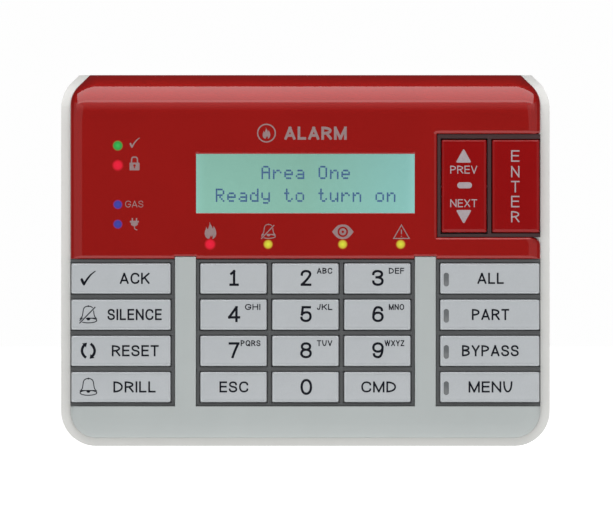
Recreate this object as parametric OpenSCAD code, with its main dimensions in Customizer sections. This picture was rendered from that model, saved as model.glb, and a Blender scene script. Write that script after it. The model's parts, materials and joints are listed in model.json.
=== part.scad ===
// Wall-mounted fire alarm keypad: a hinged front assembly on a wall plate.
// The wall is the plane y = 0, the front faces -Y, +Z is up, +X is to the right seen from the front.
// The origin is the centre of the wall plate's four screw slots.

/* [Body] */
// Overall width
body_w = 158; // [156:1:162]
// Overall height
body_h = 120; // [120:1:122]
// Overall depth from the wall
body_d = 26; // [26:0.5:28]
// Radius of the curve that rolls the front over into the top
curve_r = 16; // [16:0.5:17]
// Height at which the front starts to roll over
curve_z = 45; // [44.5:0.25:45]
// Wall thickness of the white housing
wall = 2; // [1.6:0.1:2.2]
// Thickness of the housing's front wall
front_wall = 1.8; // [1.5:0.1:2]
// Gap between the housing's rear edge and the wall
wall_gap = 1.5; // [1:0.1:2]

/* [Fascia] */
// Width of the white rim beside the fascia
rim_w = 3; // [2.8:0.1:3.2]
// Height of the white rim below the fascia
rim_low = 2.6; // [2.4:0.1:3]
// How far the fascia stands in front of the rim
fascia_step = 2.8; // [2.6:0.1:3]
// Thickness of the fascia plates
fascia_t = 2.6; // [2:0.1:2.6]
// Height of the seam between the red and the grey fascia
seam_z = 0.45; // [0.4:0.05:0.6]
// Width of the display window
display_w = 70.6; // [68:0.2:72]
// Height of the display window
display_h = 19.1; // [17:0.1:20]
// Height of the display's centre
display_z = 24.85; // [24:0.05:25.5]

/* [Keys] */
// Height of a key
key_h = 9.8; // [9.4:0.1:10]
// Distance between key rows
row_pitch = 11.7; // [11.6:0.05:11.8]
// Height of the first key row's centre
first_row_z = -5.85; // [-6:0.05:-5.8]
// Width of a number key
number_w = 21.5; // [20:0.1:21.6]
// Distance between number key columns
number_pitch = 23.25; // [23.2:0.05:23.4]
// Inner edge of the side keys, from the middle
side_key_in = 43.55; // [43.4:0.05:44]
// Gap around each key
key_gap = 0.3; // [0.25:0.05:0.35]
// Travel of a key
key_travel = 1; // [0.6:0.1:1]
// Width of the upright PREV and NEXT rocker
rocker_w = 14.6; // [14:0.1:14.8]
// Height of the rocker and of the ENTER key
nav_key_h = 30; // [28:0.5:30]
// Height of the rocker's centre
nav_z = 24; // [23.5:0.1:24.5]

/* [Wall plate] */
// Distance between screw slots, across
screw_dx = 100; // [90:1:110]
// Distance between screw slots, up and down
screw_dz = 70; // [60:1:76]
// Width of a screw slot
slot_w = 4.5; // [4:0.1:5]
// End-to-end length of a screw slot
slot_l = 8; // [7:0.5:10]
// Thickness of the wall plate
plate_t = 2.2; // [2:0.1:2.4]
// Width of the cable opening
cable_w = 44; // [30:1:50]
// Height of the cable opening
cable_h = 28; // [20:1:30]

/* [Hidden] */
$fn = 96;
half_w = body_w / 2;
top_z = body_h / 2;
low_z = -body_h / 2;
front_y = -body_d;
back_y = -wall_gap;
eps = 0.5;

// Corner radii and corner centres of the nested outlines
corner_r = 12;
corner_z = top_z - 10.7;
low_r = corner_r - 0.7;
island_half = half_w - rim_w;
island_low = low_z + rim_low;
island_r = 8.6;
island_corner_z = top_z - 9.7;
wall_y = front_y + fascia_step;
inner_y = wall_y + front_wall;

// Key frames, which line the key windows
frame_border = 0.95;
frame_y = front_y + 0.8;
frame_back_y = inner_y + 1;
frame_lip = 1;
fit_gap = 0.1;
group_top = first_row_z + key_h / 2 + key_gap + frame_border;
group_low = first_row_z - 3 * row_pitch - key_h / 2 - key_gap - frame_border;
center_half = number_pitch + number_w / 2 + key_gap + frame_border;
side_in = side_key_in - key_gap - frame_border;
side_key_out = island_half - 0.35;

// Upright keys beside the display
rocker_in = 44;
rocker_gap = 0.45;
rocker_y = front_y + 3.4;
rocker_pin_r = 0.7;
enter_in = rocker_in + rocker_w + 1.75;
nav_top = nav_z + nav_key_h / 2 + rocker_gap + 1.3;
nav_low = nav_z - nav_key_h / 2 - rocker_gap - 0.95;
nav_in = rocker_in - key_gap - frame_border;

// Keys
key_y = front_y + 0.2;
key_skin = 1.4;
key_wall = 1.2;
key_corner_r = 0.5;
flange_w = 0.6;
flange_y = frame_back_y + 0.3;
flange_t = 0.8;
pusher_y = flange_y + flange_t + 0.3;
lens_w = 1.75;
lens_h = 4.5;
lens_x = side_key_in + 2;
lens_drop = 0.35;

// Circuit board and what it carries
board_y = -14;
board_t = 1.6;
board_back_y = board_y + board_t;
board_half = 73.5;
board_low = low_z + 4.5;
board_top = top_z - 9;
corner_screw_spots = [[-69.5, 47.5], [69.5, 47.5], [-69.5, -52], [69.5, -52]];
pillar_screw_spots = [[-38.8, -23], [38.8, -23]];
screw_spots = concat(corner_screw_spots, pillar_screw_spots);
screw_r = 1.2;
screw_head_r = 2.4;
screw_head_t = 1.5;
screw_l = 5.5;
cross_w = 0.6;
cross_l = 2.6;
cross_depth = 0.4;
board_hole_r = 1.5;
board_corner_r = 3;
corner_boss_r = 3;
pillar_boss_r = 2.3;
pilot_r = 1.25;
pilot_depth = 6.2;

// Silicone mats under the keys
mat_y = board_y - 1.4;
mat_corner_r = 2;
mat_hole_r = 3;
dome_y = pusher_y + 0.1;
dome_top_r = 2.8;
dome_foot_r = 4.2;
pusher_r = 2.6;

// Lamps, their light guides and the display module
lamp_pitch = 6.35;
status_x = -60.65;
status_spots = [for (k = [0, 1, 3, 4]) [status_x, 11.7 + lamp_pitch * k]];
alarm_z = 5.2;
alarm_spots = [for (x = [-30.8, -12.05, 12.05, 30.8]) [x, alarm_z]];
led_h = 1.1;
led_half_w = 1.6;
led_half_h = 0.9;
lamp_columns = [-68, -51, -number_pitch / 2, number_pitch / 2, 51, 68];
lamp_hole_half_w = 2;
lamp_hole_half_h = 1.4;
guide_r = 1.5;
guide_hole_r = 1.8;
bezel_y = inner_y + 0.05;
bezel_w = display_w + 8.4;
bezel_h = display_h + 6.9;
bezel_sheet = 0.6;
glass_y = bezel_y + 0.65;
glass_t = 2.2;

// Parts on the back of the board: [x, z, width, height, thickness] for the chips
chips = [[-22, -26, 12, 12, 1.6], [-44, -34, 6, 10, 1.5], [24, -28, 8, 6, 1.5]];
capacitor_spots = [[24, 26], [34, 26], [44, 26]];
capacitor_r = 3.15;
capacitor_h = 6.8;
sounder_x = -45;
sounder_z = 8;
sounder_r = 7;
sounder_h = 6;
sounder_hole_r = 1.2;
address_spots = [[38, 2], [52, 2]];
address_half = 5;
address_h = 5.4;
dial_r = 3.2;
dial_well_r = 3.5;
dial_stem_r = 1.2;
dial_slot_w = 0.9;
dial_slot_reach = 2.2;
tamper_z = -35;
tamper_half = 4;
tamper_h = 4.5;
plunger_r = 1.25;
plunger_cap_r = 2.2;
terminal_xs = [-7.62, -2.54, 2.54, 7.62];
terminal_z = 25;
terminal_h = 7.6;
terminal_half_w = 10.5;
terminal_well_r = 1.9;
terminal_screw_r = 1.7;
terminal_mouth = 3.2;

// Hinge hooks and latches between the housing and the wall plate
hook_x = 45;
hook_w = 14;
pivot_y = -4.2;
pivot_z = top_z - 3.8;
nose_r = 0.9;
latch_x = 30;
latch_w = 8;
plate_half = half_w - wall - 0.6;
plate_low = low_z + wall + 0.6;
plate_top = top_z - 4;
rib_t = 1.5;
rib_y = -plate_t - 2.3;
pad_t = 0.8;
pad_y = -plate_t - pad_t;
cable_corner_r = 3;
hook_t = 1.2;
latch_window_y0 = -9;
latch_window_y1 = -6.2;
finger_t = 1.2;
finger_low = low_z + wall + 1.1;
barb_z = low_z + 1.3;
barb_y0 = -7;
barb_y1 = -6.5;

function row_z(row) = first_row_z - row * row_pitch;
function column_x(column) = (column - 1) * number_pitch;

// A box between two x, two y and two z values
module block(x0, x1, y0, y1, z0, z1) {
    translate([x0, y0, z0]) cube([x1 - x0, y1 - y0, z1 - z0]);
}

// A front-view outline made solid between two depths
module facing(y0, y1) {
    translate([0, y1, 0]) rotate([90, 0, 0]) linear_extrude(y1 - y0) children();
}

// A side-view outline, y across and z up, made solid between two x values
module side_view(x0, x1) {
    translate([x0, 0, 0]) rotate([90, 0, 90]) linear_extrude(x1 - x0) children();
}

// A rod along Y
module rod(x, z, r, y0, y1) {
    translate([x, y1, z]) rotate([90, 0, 0]) cylinder(h = y1 - y0, r = r);
}

// A cone along Y, from radius r0 at y0 to r1 at y1
module cone(x, z, r0, r1, y0, y1) {
    translate([x, y1, z]) rotate([90, 0, 0]) cylinder(h = y1 - y0, r1 = r1, r2 = r0);
}

module rounded_rect(x0, x1, z0, z1, r) {
    union() {
        translate([x0 + r, z0]) square([x1 - x0 - 2 * r, z1 - z0]);
        translate([x0, z0 + r]) square([x1 - x0, z1 - z0 - 2 * r]);
        for (x = [x0 + r, x1 - r], z = [z0 + r, z1 - r]) translate([x, z]) circle(r);
    }
}

// What a rounded corner takes off a square one; the corner is at x, z and its centre lies r inside it
module corner_waste(sx, sz, x, z, r) {
    difference() {
        translate([sx > 0 ? x - r : x - 1, sz > 0 ? z - r : z - 1]) square([r + 1, r + 1]);
        translate([x - sx * r, z - sz * r]) circle(r);
    }
}

// The front outline: round lower corners, and upper corners that turn 45 degrees and run straight to the top
module front_outline(half, low, r_low, r_top, center_z, top) {
    turn = r_top * sin(45);
    bite = 0.05; // the straight run cuts the arc a little inside its 45 degree tangent
    turn_x = half - r_top + turn - bite;
    turn_z = center_z + turn;
    over = top + 1 - turn_z;
    difference() {
        translate([-half, low]) square([2 * half, top - low]);
        for (s = [-1, 1]) {
            corner_waste(s, -1, s * half, low, r_low);
            difference() {
                translate([s > 0 ? turn_x : -half - 1, center_z]) square([half + 1 - turn_x, turn]);
                translate([s * (half - r_top), center_z]) circle(r_top);
            }
            polygon([
                [s * (turn_x + 1), turn_z - 1], [s * (half + 1), turn_z - 1],
                [s * (half + 1), top + 1], [s * (turn_x - over), top + 1]
            ]);
        }
    }
}

// Everything behind a front surface that stands shift behind the fascia's, and inset inside it
module side_profile(shift, inset) {
    center_y = front_y + curve_r + shift;
    reach = 2 * body_h;
    union() {
        translate([front_y + shift + inset, -reach]) square([reach, curve_z + reach]);
        translate([center_y, curve_z]) circle(curve_r - inset);
        translate([center_y, -reach]) square([reach, 2 * reach]);
    }
}

module housing_shell() {
    difference() {
        intersection() {
            facing(2 * front_y, back_y)
                front_outline(half_w, low_z, low_r, corner_r, corner_z, top_z);
            side_view(-body_w, body_w) side_profile(fascia_step, 0);
        }
        intersection() {
            facing(2 * front_y, 0)
                front_outline(half_w - wall, low_z + wall, low_r - wall, corner_r - wall, corner_z,
                    top_z - wall);
            side_view(-body_w, body_w) side_profile(fascia_step, front_wall);
        }
    }
}

// Round rib under the housing's top wall that turns in the wall plate's hook
module hinge_nose(x) {
    side_view(x - hook_w / 2 + 1, x + hook_w / 2 - 1) {
        translate([pivot_y, pivot_z]) circle(nose_r);
        translate([pivot_y - nose_r / 2, pivot_z]) square([nose_r, top_z - wall / 2 - pivot_z]);
    }
}

module housing_bosses() {
    for (p = corner_screw_spots) rod(p[0], p[1], corner_boss_r, inner_y - 1, board_y);
    for (p = pillar_screw_spots) rod(p[0], p[1], pillar_boss_r, inner_y - 1, board_y);
}

module housing() {
    color("whitesmoke") difference() {
        union() {
            housing_shell();
            housing_bosses();
            for (s = [-1, 1]) hinge_nose(s * hook_x);
        }
        for (p = screw_spots) rod(p[0], p[1], pilot_r, board_y - pilot_depth, board_y + 1);
        for (s = [-1, 1]) {
            x = side_in - fit_gap;
            block(min(s * x, s * island_half), max(s * x, s * island_half), front_y,
                inner_y + eps, group_low - fit_gap, group_top + fit_gap);
            block(s * latch_x - latch_w / 2 - 1, s * latch_x + latch_w / 2 + 1,
                latch_window_y0, latch_window_y1, low_z - 1, low_z + wall + 1);
        }
        block(-center_half - fit_gap, center_half + fit_gap, front_y, inner_y + eps,
            group_low - fit_gap, group_top + fit_gap);
        block(nav_in - fit_gap, island_half, front_y, inner_y + eps, nav_low - fit_gap,
            nav_top + fit_gap);
        block(-display_w / 2 - 0.6, display_w / 2 + 0.6, front_y, inner_y + eps,
            display_z - display_h / 2 - 0.5, display_z + display_h / 2 + 0.5);
        for (p = concat(status_spots, alarm_spots)) {
            rod(p[0], p[1], guide_hole_r, front_y, inner_y + eps);
        }
    }
}

// The whole fascia before it is parted into a red and a grey plate
module fascia_blank() {
    difference() {
        intersection() {
            facing(2 * front_y, 0)
                front_outline(island_half, island_low, island_r, island_r, island_corner_z, top_z);
            side_view(-body_w, body_w) side_profile(0, 0);
        }
        side_view(-body_w, body_w) side_profile(fascia_t, 0);
    }
}

module pillar_outline(grow, top) {
    for (s = [-1, 1]) {
        x0 = center_half + fit_gap - grow;
        x1 = side_in - fit_gap + grow;
        translate([s > 0 ? x0 : -x1, group_low - 2]) square([x1 - x0, top + grow - group_low + 2]);
    }
}

module red_fascia() {
    color("firebrick") difference() {
        fascia_blank();
        block(-body_w, body_w, front_y - 1, 0, -body_h, seam_z);
        facing(front_y - 1, 0) pillar_outline(fit_gap, seam_z + 0.8);
        block(nav_in - fit_gap, body_w, front_y - 1, 0, nav_low - fit_gap, nav_top + fit_gap);
        block(-display_w / 2, display_w / 2, front_y - 1, 0,
            display_z - display_h / 2, display_z + display_h / 2);
    }
}

module lower_fascia() {
    color("lightsteelblue") intersection() {
        fascia_blank();
        facing(front_y - 1, 0) {
            pillar_outline(0, seam_z + 0.8);
            translate([-body_w, -body_h]) square([2 * body_w, body_h + group_low - fit_gap]);
        }
    }
}

module display_lens() {
    color("honeydew", 0.4) block(-display_w / 2 + fit_gap, display_w / 2 - fit_gap,
        front_y + 0.4, front_y + fascia_t, display_z - display_h / 2 + fit_gap,
        display_z + display_h / 2 - fit_gap);
}

// Frame body in its window with a lip behind the housing's front wall
module frame_blank(x0, x1, lip_x0, lip_x1, z0, z1) {
    block(x0, x1, frame_y, frame_back_y, z0, z1);
    block(lip_x0, lip_x1, inner_y + fit_gap, frame_back_y, z0 - frame_lip, z1 + frame_lip);
}

module side_frame() {
    color("dimgray") difference() {
        frame_blank(side_in, island_half - fit_gap, side_in - frame_lip,
            half_w - wall - fit_gap, group_low, group_top);
        for (row = [0:3]) {
            block(side_key_in - key_gap, side_key_out + key_gap, front_y - 1, 0,
                row_z(row) - key_h / 2 - key_gap, row_z(row) + key_h / 2 + key_gap);
        }
    }
}

module key_frame_right() {
    side_frame();
}

module key_frame_left() {
    mirror([1, 0, 0]) side_frame();
}

module key_frame_center() {
    color("dimgray") difference() {
        frame_blank(-center_half, center_half, -center_half - frame_lip, center_half + frame_lip,
            group_low, group_top);
        for (row = [0:3], column = [0:2]) {
            block(column_x(column) - number_w / 2 - key_gap, column_x(column) + number_w / 2 + key_gap,
                front_y - 1, 0, row_z(row) - key_h / 2 - key_gap, row_z(row) + key_h / 2 + key_gap);
        }
    }
}

module nav_frame() {
    color("dimgray") difference() {
        frame_blank(nav_in, island_half - fit_gap, nav_in - frame_lip, half_w - wall - fit_gap,
            nav_low, nav_top);
        block(rocker_in - key_gap, rocker_in + rocker_w + key_gap, front_y - 1, 0,
            nav_z - nav_key_h / 2 - rocker_gap, nav_z + nav_key_h / 2 + rocker_gap);
        block(enter_in - key_gap, side_key_out + key_gap, front_y - 1, 0,
            nav_z - nav_key_h / 2 - key_gap, nav_z + nav_key_h / 2 + key_gap);
        translate([rocker_in - 1, rocker_y, nav_z]) rotate([0, 90, 0])
            cylinder(h = rocker_w + 2, r = rocker_pin_r + 0.06);
    }
}

// A hollow cap, open at the back, with a pusher at each of the given places
module cap(x0, x1, z0, z1, pushers) {
    difference() {
        facing(key_y, flange_y) rounded_rect(x0, x1, z0, z1, key_corner_r);
        block(x0 + key_wall, x1 - key_wall, key_y + key_skin, flange_y + 1, z0 + key_wall,
            z1 - key_wall);
    }
    for (p = pushers) rod(p[0], p[1], pusher_r, key_y + key_skin / 2, pusher_y);
}

// Retaining flange around the open back of a cap
module flange(x0, x1, z0, z1) {
    difference() {
        block(x0 - flange_w, x1 + flange_w, flange_y, flange_y + flange_t, z0 - flange_w,
            z1 + flange_w);
        block(x0 + key_wall, x1 - key_wall, flange_y - 1, flange_y + 2, z0 + key_wall,
            z1 - key_wall);
    }
}

module small_key(x0, x1, z) {
    cap(x0, x1, z - key_h / 2, z + key_h / 2, [[(x0 + x1) / 2, z]]);
    flange(x0, x1, z - key_h / 2, z + key_h / 2);
}

module number_key(column, row) {
    color("silver")
        small_key(column_x(column) - number_w / 2, column_x(column) + number_w / 2, row_z(row));
}

module left_key(row) {
    color("silver") small_key(-side_key_out, -side_key_in, row_z(row));
}

// Upright slot shape of a key's lamp window
module lens_outline(row, grow) {
    z = row_z(row) - lens_drop;
    r = lens_w / 2;
    reach = lens_h / 2 - r;
    translate([lens_x, z - reach]) circle(r + grow);
    translate([lens_x, z + reach]) circle(r + grow);
    translate([lens_x - r - grow, z - reach]) square([2 * (r + grow), 2 * reach]);
}

module right_key(row) {
    color("silver") difference() {
        small_key(side_key_in, side_key_out, row_z(row));
        facing(key_y - 1, key_y + key_skin + 1) lens_outline(row, 0.05);
    }
}

module key_lens(row) {
    color("gray") facing(key_y + 0.1, key_y + key_skin) lens_outline(row, 0);
}

module key_1() { number_key(0, 0); }
module key_2() { number_key(1, 0); }
module key_3() { number_key(2, 0); }
module key_4() { number_key(0, 1); }
module key_5() { number_key(1, 1); }
module key_6() { number_key(2, 1); }
module key_7() { number_key(0, 2); }
module key_8() { number_key(1, 2); }
module key_9() { number_key(2, 2); }
module key_esc() { number_key(0, 3); }
module key_0() { number_key(1, 3); }
module key_cmd() { number_key(2, 3); }
module key_ack() { left_key(0); }
module key_silence() { left_key(1); }
module key_reset() { left_key(2); }
module key_drill() { left_key(3); }
module key_all() { right_key(0); }
module key_part() { right_key(1); }
module key_bypass() { right_key(2); }
module key_menu() { right_key(3); }
module lens_all() { key_lens(0); }
module lens_part() { key_lens(1); }
module lens_bypass() { key_lens(2); }
module lens_menu() { key_lens(3); }

// Rocker with a press point above and below its hinge pins
module rocker_prev_next() {
    color("firebrick") {
        middle = rocker_in + rocker_w / 2;
        cap(rocker_in, rocker_in + rocker_w, nav_z - nav_key_h / 2, nav_z + nav_key_h / 2,
            [[middle, nav_z - nav_key_h / 3], [middle, nav_z + nav_key_h / 3]]);
        for (x = [rocker_in - 0.8, rocker_in + rocker_w - key_wall / 2]) {
            translate([x, rocker_y, nav_z]) rotate([0, 90, 0])
                cylinder(h = 0.8 + key_wall / 2, r = rocker_pin_r);
        }
    }
}

module key_enter() {
    color("firebrick") {
        z0 = nav_z - nav_key_h / 2;
        z1 = nav_z + nav_key_h / 2;
        cap(enter_in, side_key_out, z0, z1, [[(enter_in + side_key_out) / 2, nav_z]]);
        flange(enter_in, side_key_out, z0, z1);
    }
}

// Clear rods from the lamps to the back of the fascia, joined by a bar
module light_guide(spots, bar_x0, bar_x1, bar_z0, bar_z1) {
    color("white", 0.5) {
        for (p = spots) rod(p[0], p[1], guide_r, wall_y - 0.1, board_y - led_h - 0.2);
        block(bar_x0, bar_x1, inner_y + 0.5, inner_y + 2, bar_z0, bar_z1);
    }
}

module status_light_guide() {
    light_guide(status_spots, status_x - 2, status_x + 2, status_spots[0][1] - 2,
        status_spots[3][1] + 2);
}

module alarm_light_guide() {
    light_guide(alarm_spots, alarm_spots[0][0] - 2, alarm_spots[3][0] + 2, alarm_z - 1.8,
        alarm_z + 1.8);
}

module lcd_bezel() {
    color("gray") difference() {
        block(-bezel_w / 2, bezel_w / 2, bezel_y, board_y, display_z - bezel_h / 2,
            display_z + bezel_h / 2);
        block(-bezel_w / 2 + bezel_sheet, bezel_w / 2 - bezel_sheet, bezel_y + bezel_sheet,
            board_y + 1, display_z - bezel_h / 2 + bezel_sheet,
            display_z + bezel_h / 2 - bezel_sheet);
        block(-display_w / 2 - 0.3, display_w / 2 + 0.3, bezel_y - 1, board_y,
            display_z - display_h / 2 - 0.3, display_z + display_h / 2 + 0.3);
    }
}

module lcd_glass() {
    color("darkseagreen") block(-display_w / 2 - 2, display_w / 2 + 2, glass_y,
        glass_y + glass_t, display_z - display_h / 2 - 1.7, display_z + display_h / 2 + 1.7);
}

module lcd_backlight() {
    color("palegreen") block(-display_w / 2 - 1, display_w / 2 + 1, glass_y + glass_t + 0.05,
        board_y - 1, display_z - display_h / 2 + 0.2, display_z + display_h / 2 - 0.2);
}

// Rubber strips that join the glass's contacts to the board
module lcd_connectors() {
    color("dimgray") for (s = [-1, 1]) {
        z = display_z + s * (display_h / 2 + 0.8);
        block(-display_w / 2, display_w / 2, glass_y + glass_t, board_y, z - 0.75, z + 0.75);
    }
}

module main_board() {
    color("darkgreen") difference() {
        facing(board_y, board_back_y)
            rounded_rect(-board_half, board_half, board_low, board_top, board_corner_r);
        for (p = screw_spots) rod(p[0], p[1], board_hole_r, board_y - 1, board_back_y + 1);
    }
}

module key_mat() {
    color("lightgray") {
        difference() {
            facing(mat_y, board_y)
                rounded_rect(3 - half_w, half_w - 3, group_low - 0.4, group_top + 0.2,
                    mat_corner_r);
            for (p = screw_spots) rod(p[0], p[1], mat_hole_r, mat_y - 1, board_y + 1);
            for (x = lamp_columns, row = [0:3]) {
                block(x - lamp_hole_half_w, x + lamp_hole_half_w, mat_y - 1, board_y + 1,
                    row_z(row) - lamp_hole_half_h, row_z(row) + lamp_hole_half_h);
            }
        }
        side_x = (side_key_in + side_key_out) / 2;
        for (x = [-side_x, column_x(0), column_x(1), column_x(2), side_x], row = [0:3]) {
            cone(x, row_z(row), dome_top_r, dome_foot_r, dome_y, mat_y);
        }
    }
}

module nav_key_mat() {
    rocker_x = rocker_in + rocker_w / 2;
    enter_x = (enter_in + side_key_out) / 2;
    color("lightgray") {
        facing(mat_y, board_y) rounded_rect(nav_in, half_w - 3.5, nav_low, nav_top, mat_corner_r);
        for (p = [[rocker_x, nav_z - nav_key_h / 3], [rocker_x, nav_z + nav_key_h / 3],
                [enter_x, nav_z]]) {
            cone(p[0], p[1], dome_top_r, dome_foot_r, dome_y, mat_y);
        }
    }
}

module led(x, z) {
    block(x - led_half_w, x + led_half_w, board_y - led_h, board_y, z - led_half_h,
        z + led_half_h);
}

module indicator_leds() {
    color("ivory") for (p = concat(status_spots, alarm_spots)) led(p[0], p[1]);
}

module backlight_leds() {
    color("ivory") for (x = lamp_columns, row = [0:3]) led(x, row_z(row));
}

module circuit_chips() {
    color("black") for (c = chips) {
        block(c[0] - c[2] / 2, c[0] + c[2] / 2, board_back_y, board_back_y + c[4],
            c[1] - c[3] / 2, c[1] + c[3] / 2);
    }
}

module capacitors() {
    color("midnightblue") for (p = capacitor_spots) {
        rod(p[0], p[1], capacitor_r, board_back_y, board_back_y + capacitor_h);
    }
}

module sounder() {
    color("black") difference() {
        rod(sounder_x, sounder_z, sounder_r, board_back_y, board_back_y + sounder_h);
        rod(sounder_x, sounder_z, sounder_hole_r, board_back_y + sounder_h - 2,
            board_back_y + sounder_h + 1);
    }
}

// Four-way screw terminal for the supply and data wires, each way with its own wire mouth
module terminal_block() {
    color("seagreen") difference() {
        block(-terminal_half_w, terminal_half_w, board_back_y, board_back_y + terminal_h,
            terminal_z - 5, terminal_z + 4);
        for (x = terminal_xs) {
            rod(x, terminal_z, terminal_well_r, board_back_y + 3.6,
                board_back_y + terminal_h + 1);
            block(x - terminal_mouth / 2, x + terminal_mouth / 2, board_back_y + 1,
                board_back_y + 4.4, terminal_z - 6, terminal_z - 1);
        }
    }
}

module terminal_screws() {
    color("silver") for (x = terminal_xs) {
        difference() {
            rod(x, terminal_z, terminal_screw_r, board_back_y + 4.6, board_back_y + 6.6);
            block(x - 1.8, x + 1.8, board_back_y + 5.9, board_back_y + 7, terminal_z - 0.35,
                terminal_z + 0.35);
        }
    }
}

module tamper_switch() {
    color("black") difference() {
        block(-tamper_half, tamper_half, board_back_y, board_back_y + tamper_h,
            tamper_z - tamper_half, tamper_z + tamper_half);
        rod(0, tamper_z, plunger_r + 0.08, board_back_y + 1, board_back_y + tamper_h + 1);
    }
}

// Sprung plunger that the wall plate's pad holds in while the front is shut
module tamper_plunger() {
    color("white") {
        rod(0, tamper_z, plunger_r, board_back_y + 2.4, pad_y - 1);
        rod(0, tamper_z, plunger_cap_r, pad_y - 1.8, pad_y - 0.3);
    }
}

module address_switches() {
    top = board_back_y + address_h;
    color("darkslategray") for (p = address_spots) {
        difference() {
            block(p[0] - address_half, p[0] + address_half, board_back_y, top,
                p[1] - address_half, p[1] + address_half);
            rod(p[0], p[1], dial_well_r, top - 1.5, top + 1);
            rod(p[0], p[1], dial_stem_r + 0.08, top - 4, top);
        }
    }
}

// Slotted rotor of a ten-position address switch
module address_dial(p) {
    top = board_back_y + address_h + 0.4;
    slot_y = top - 0.7;
    color("orange") difference() {
        union() {
            rod(p[0], p[1], dial_r, top - 1.6, top);
            rod(p[0], p[1], dial_stem_r, top - 4.2, top - 1);
        }
        block(p[0] - dial_slot_reach, p[0] + dial_slot_reach, slot_y, top + 1,
            p[1] - dial_slot_w / 2, p[1] + dial_slot_w / 2);
        rod(p[0] + dial_slot_reach, p[1], 0.8, slot_y, top + 1);
    }
}

module address_dial_tens() { address_dial(address_spots[0]); }
module address_dial_ones() { address_dial(address_spots[1]); }

module board_screws() {
    color("silver") for (p = screw_spots) {
        difference() {
            union() {
                rod(p[0], p[1], screw_r, board_y - screw_l, board_back_y + 0.5);
                rod(p[0], p[1], screw_head_r, board_back_y, board_back_y + screw_head_t);
            }
            for (a = [0, 90]) {
                translate([p[0], board_back_y + screw_head_t - cross_depth, p[1]])
                    rotate([0, a, 0]) cube([cross_l, 2 * screw_head_t - 1.4, cross_w],
                        center = true);
            }
        }
    }
}

module plate_outline(inset) {
    front_outline(plate_half - inset, plate_low + inset, low_r - 2.6 - inset, corner_r - inset,
        plate_top - 12.4, plate_top - inset);
}

// Upturned hook that the housing's hinge nose drops into
module hook(x) {
    nose_gap = 0.3;
    shelf_top = pivot_z - nose_r - nose_gap;
    hook_y = pivot_y - nose_r - nose_gap;
    shelf_low = shelf_top - 1.1;
    block(x - hook_w / 2, x + hook_w / 2, hook_y - hook_t, -plate_t / 2, shelf_low, shelf_top);
    block(x - hook_w / 2, x + hook_w / 2, hook_y - hook_t, hook_y, shelf_low, pivot_z + 0.8);
}

module slot_outline(x, z) {
    reach = (slot_l - slot_w) / 2;
    translate([x - reach, z]) circle(slot_w / 2);
    translate([x + reach, z]) circle(slot_w / 2);
    translate([x - reach, z - slot_w / 2]) square([2 * reach, slot_w]);
}

module wall_plate() {
    color("gainsboro") {
        difference() {
            union() {
                facing(-plate_t, 0) plate_outline(0);
                difference() {
                    facing(rib_y, -plate_t / 2) plate_outline(0);
                    facing(rib_y - 1, 0) plate_outline(rib_t);
                    for (s = [-1, 1]) {
                        block(s * hook_x - hook_w / 2 - 1.5, s * hook_x + hook_w / 2 + 1.5,
                            rib_y - 1, -plate_t, plate_top - 4, top_z);
                        block(s * latch_x - latch_w / 2 - 0.5, s * latch_x + latch_w / 2 + 0.5,
                            rib_y - 1, -plate_t, low_z, plate_low + 4);
                    }
                }
                facing(rib_y, -plate_t / 2) rounded_rect(-cable_w / 2 - rib_t, cable_w / 2 + rib_t,
                    -cable_h / 2 - rib_t, cable_h / 2 + rib_t, cable_corner_r + rib_t);
                for (x = [-1, 1] * screw_dx / 2, z = [-1, 1] * screw_dz / 2) {
                    facing(pad_y, -plate_t / 2) rounded_rect(x - 7, x + 7, z - 5, z + 5, 4);
                }
                rod(0, tamper_z, 3, pad_y, -plate_t / 2);
            }
            facing(rib_y - 1, 1)
                rounded_rect(-cable_w / 2, cable_w / 2, -cable_h / 2, cable_h / 2,
                    cable_corner_r);
            for (x = [-1, 1] * screw_dx / 2, z = [-1, 1] * screw_dz / 2) {
                facing(-plate_t - 2, 1) slot_outline(x, z);
            }
        }
        for (s = [-1, 1]) hook(s * hook_x);
    }
}

// Bending fingers whose barbs catch the windows in the housing's lower wall
module latch_fingers() {
    color("gainsboro") for (s = [-1, 1]) {
        side_view(s * latch_x - latch_w / 2, s * latch_x + latch_w / 2) polygon([
            [-plate_t, finger_low + finger_t], [latch_window_y0, finger_low + finger_t],
            [latch_window_y0, finger_low], [barb_y0, barb_z], [barb_y1, barb_z],
            [barb_y1, finger_low], [-plate_t, finger_low]
        ]);
    }
}

wall_plate();
latch_fingers();
housing();
red_fascia();
lower_fascia();
display_lens();
key_frame_left();
key_frame_center();
key_frame_right();
nav_frame();
key_1();
key_2();
key_3();
key_4();
key_5();
key_6();
key_7();
key_8();
key_9();
key_esc();
key_0();
key_cmd();
key_ack();
key_silence();
key_reset();
key_drill();
key_all();
key_part();
key_bypass();
key_menu();
lens_all();
lens_part();
lens_bypass();
lens_menu();
rocker_prev_next();
key_enter();
status_light_guide();
alarm_light_guide();
lcd_bezel();
lcd_glass();
lcd_backlight();
lcd_connectors();
main_board();
key_mat();
nav_key_mat();
indicator_leds();
backlight_leds();
circuit_chips();
capacitors();
sounder();
terminal_block();
terminal_screws();
tamper_switch();
tamper_plunger();
address_switches();
address_dial_tens();
address_dial_ones();
board_screws();
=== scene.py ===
import json
import math

import bmesh
import bpy
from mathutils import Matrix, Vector
from mathutils.geometry import delaunay_2d_cdt, tessellate_polygon


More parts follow.
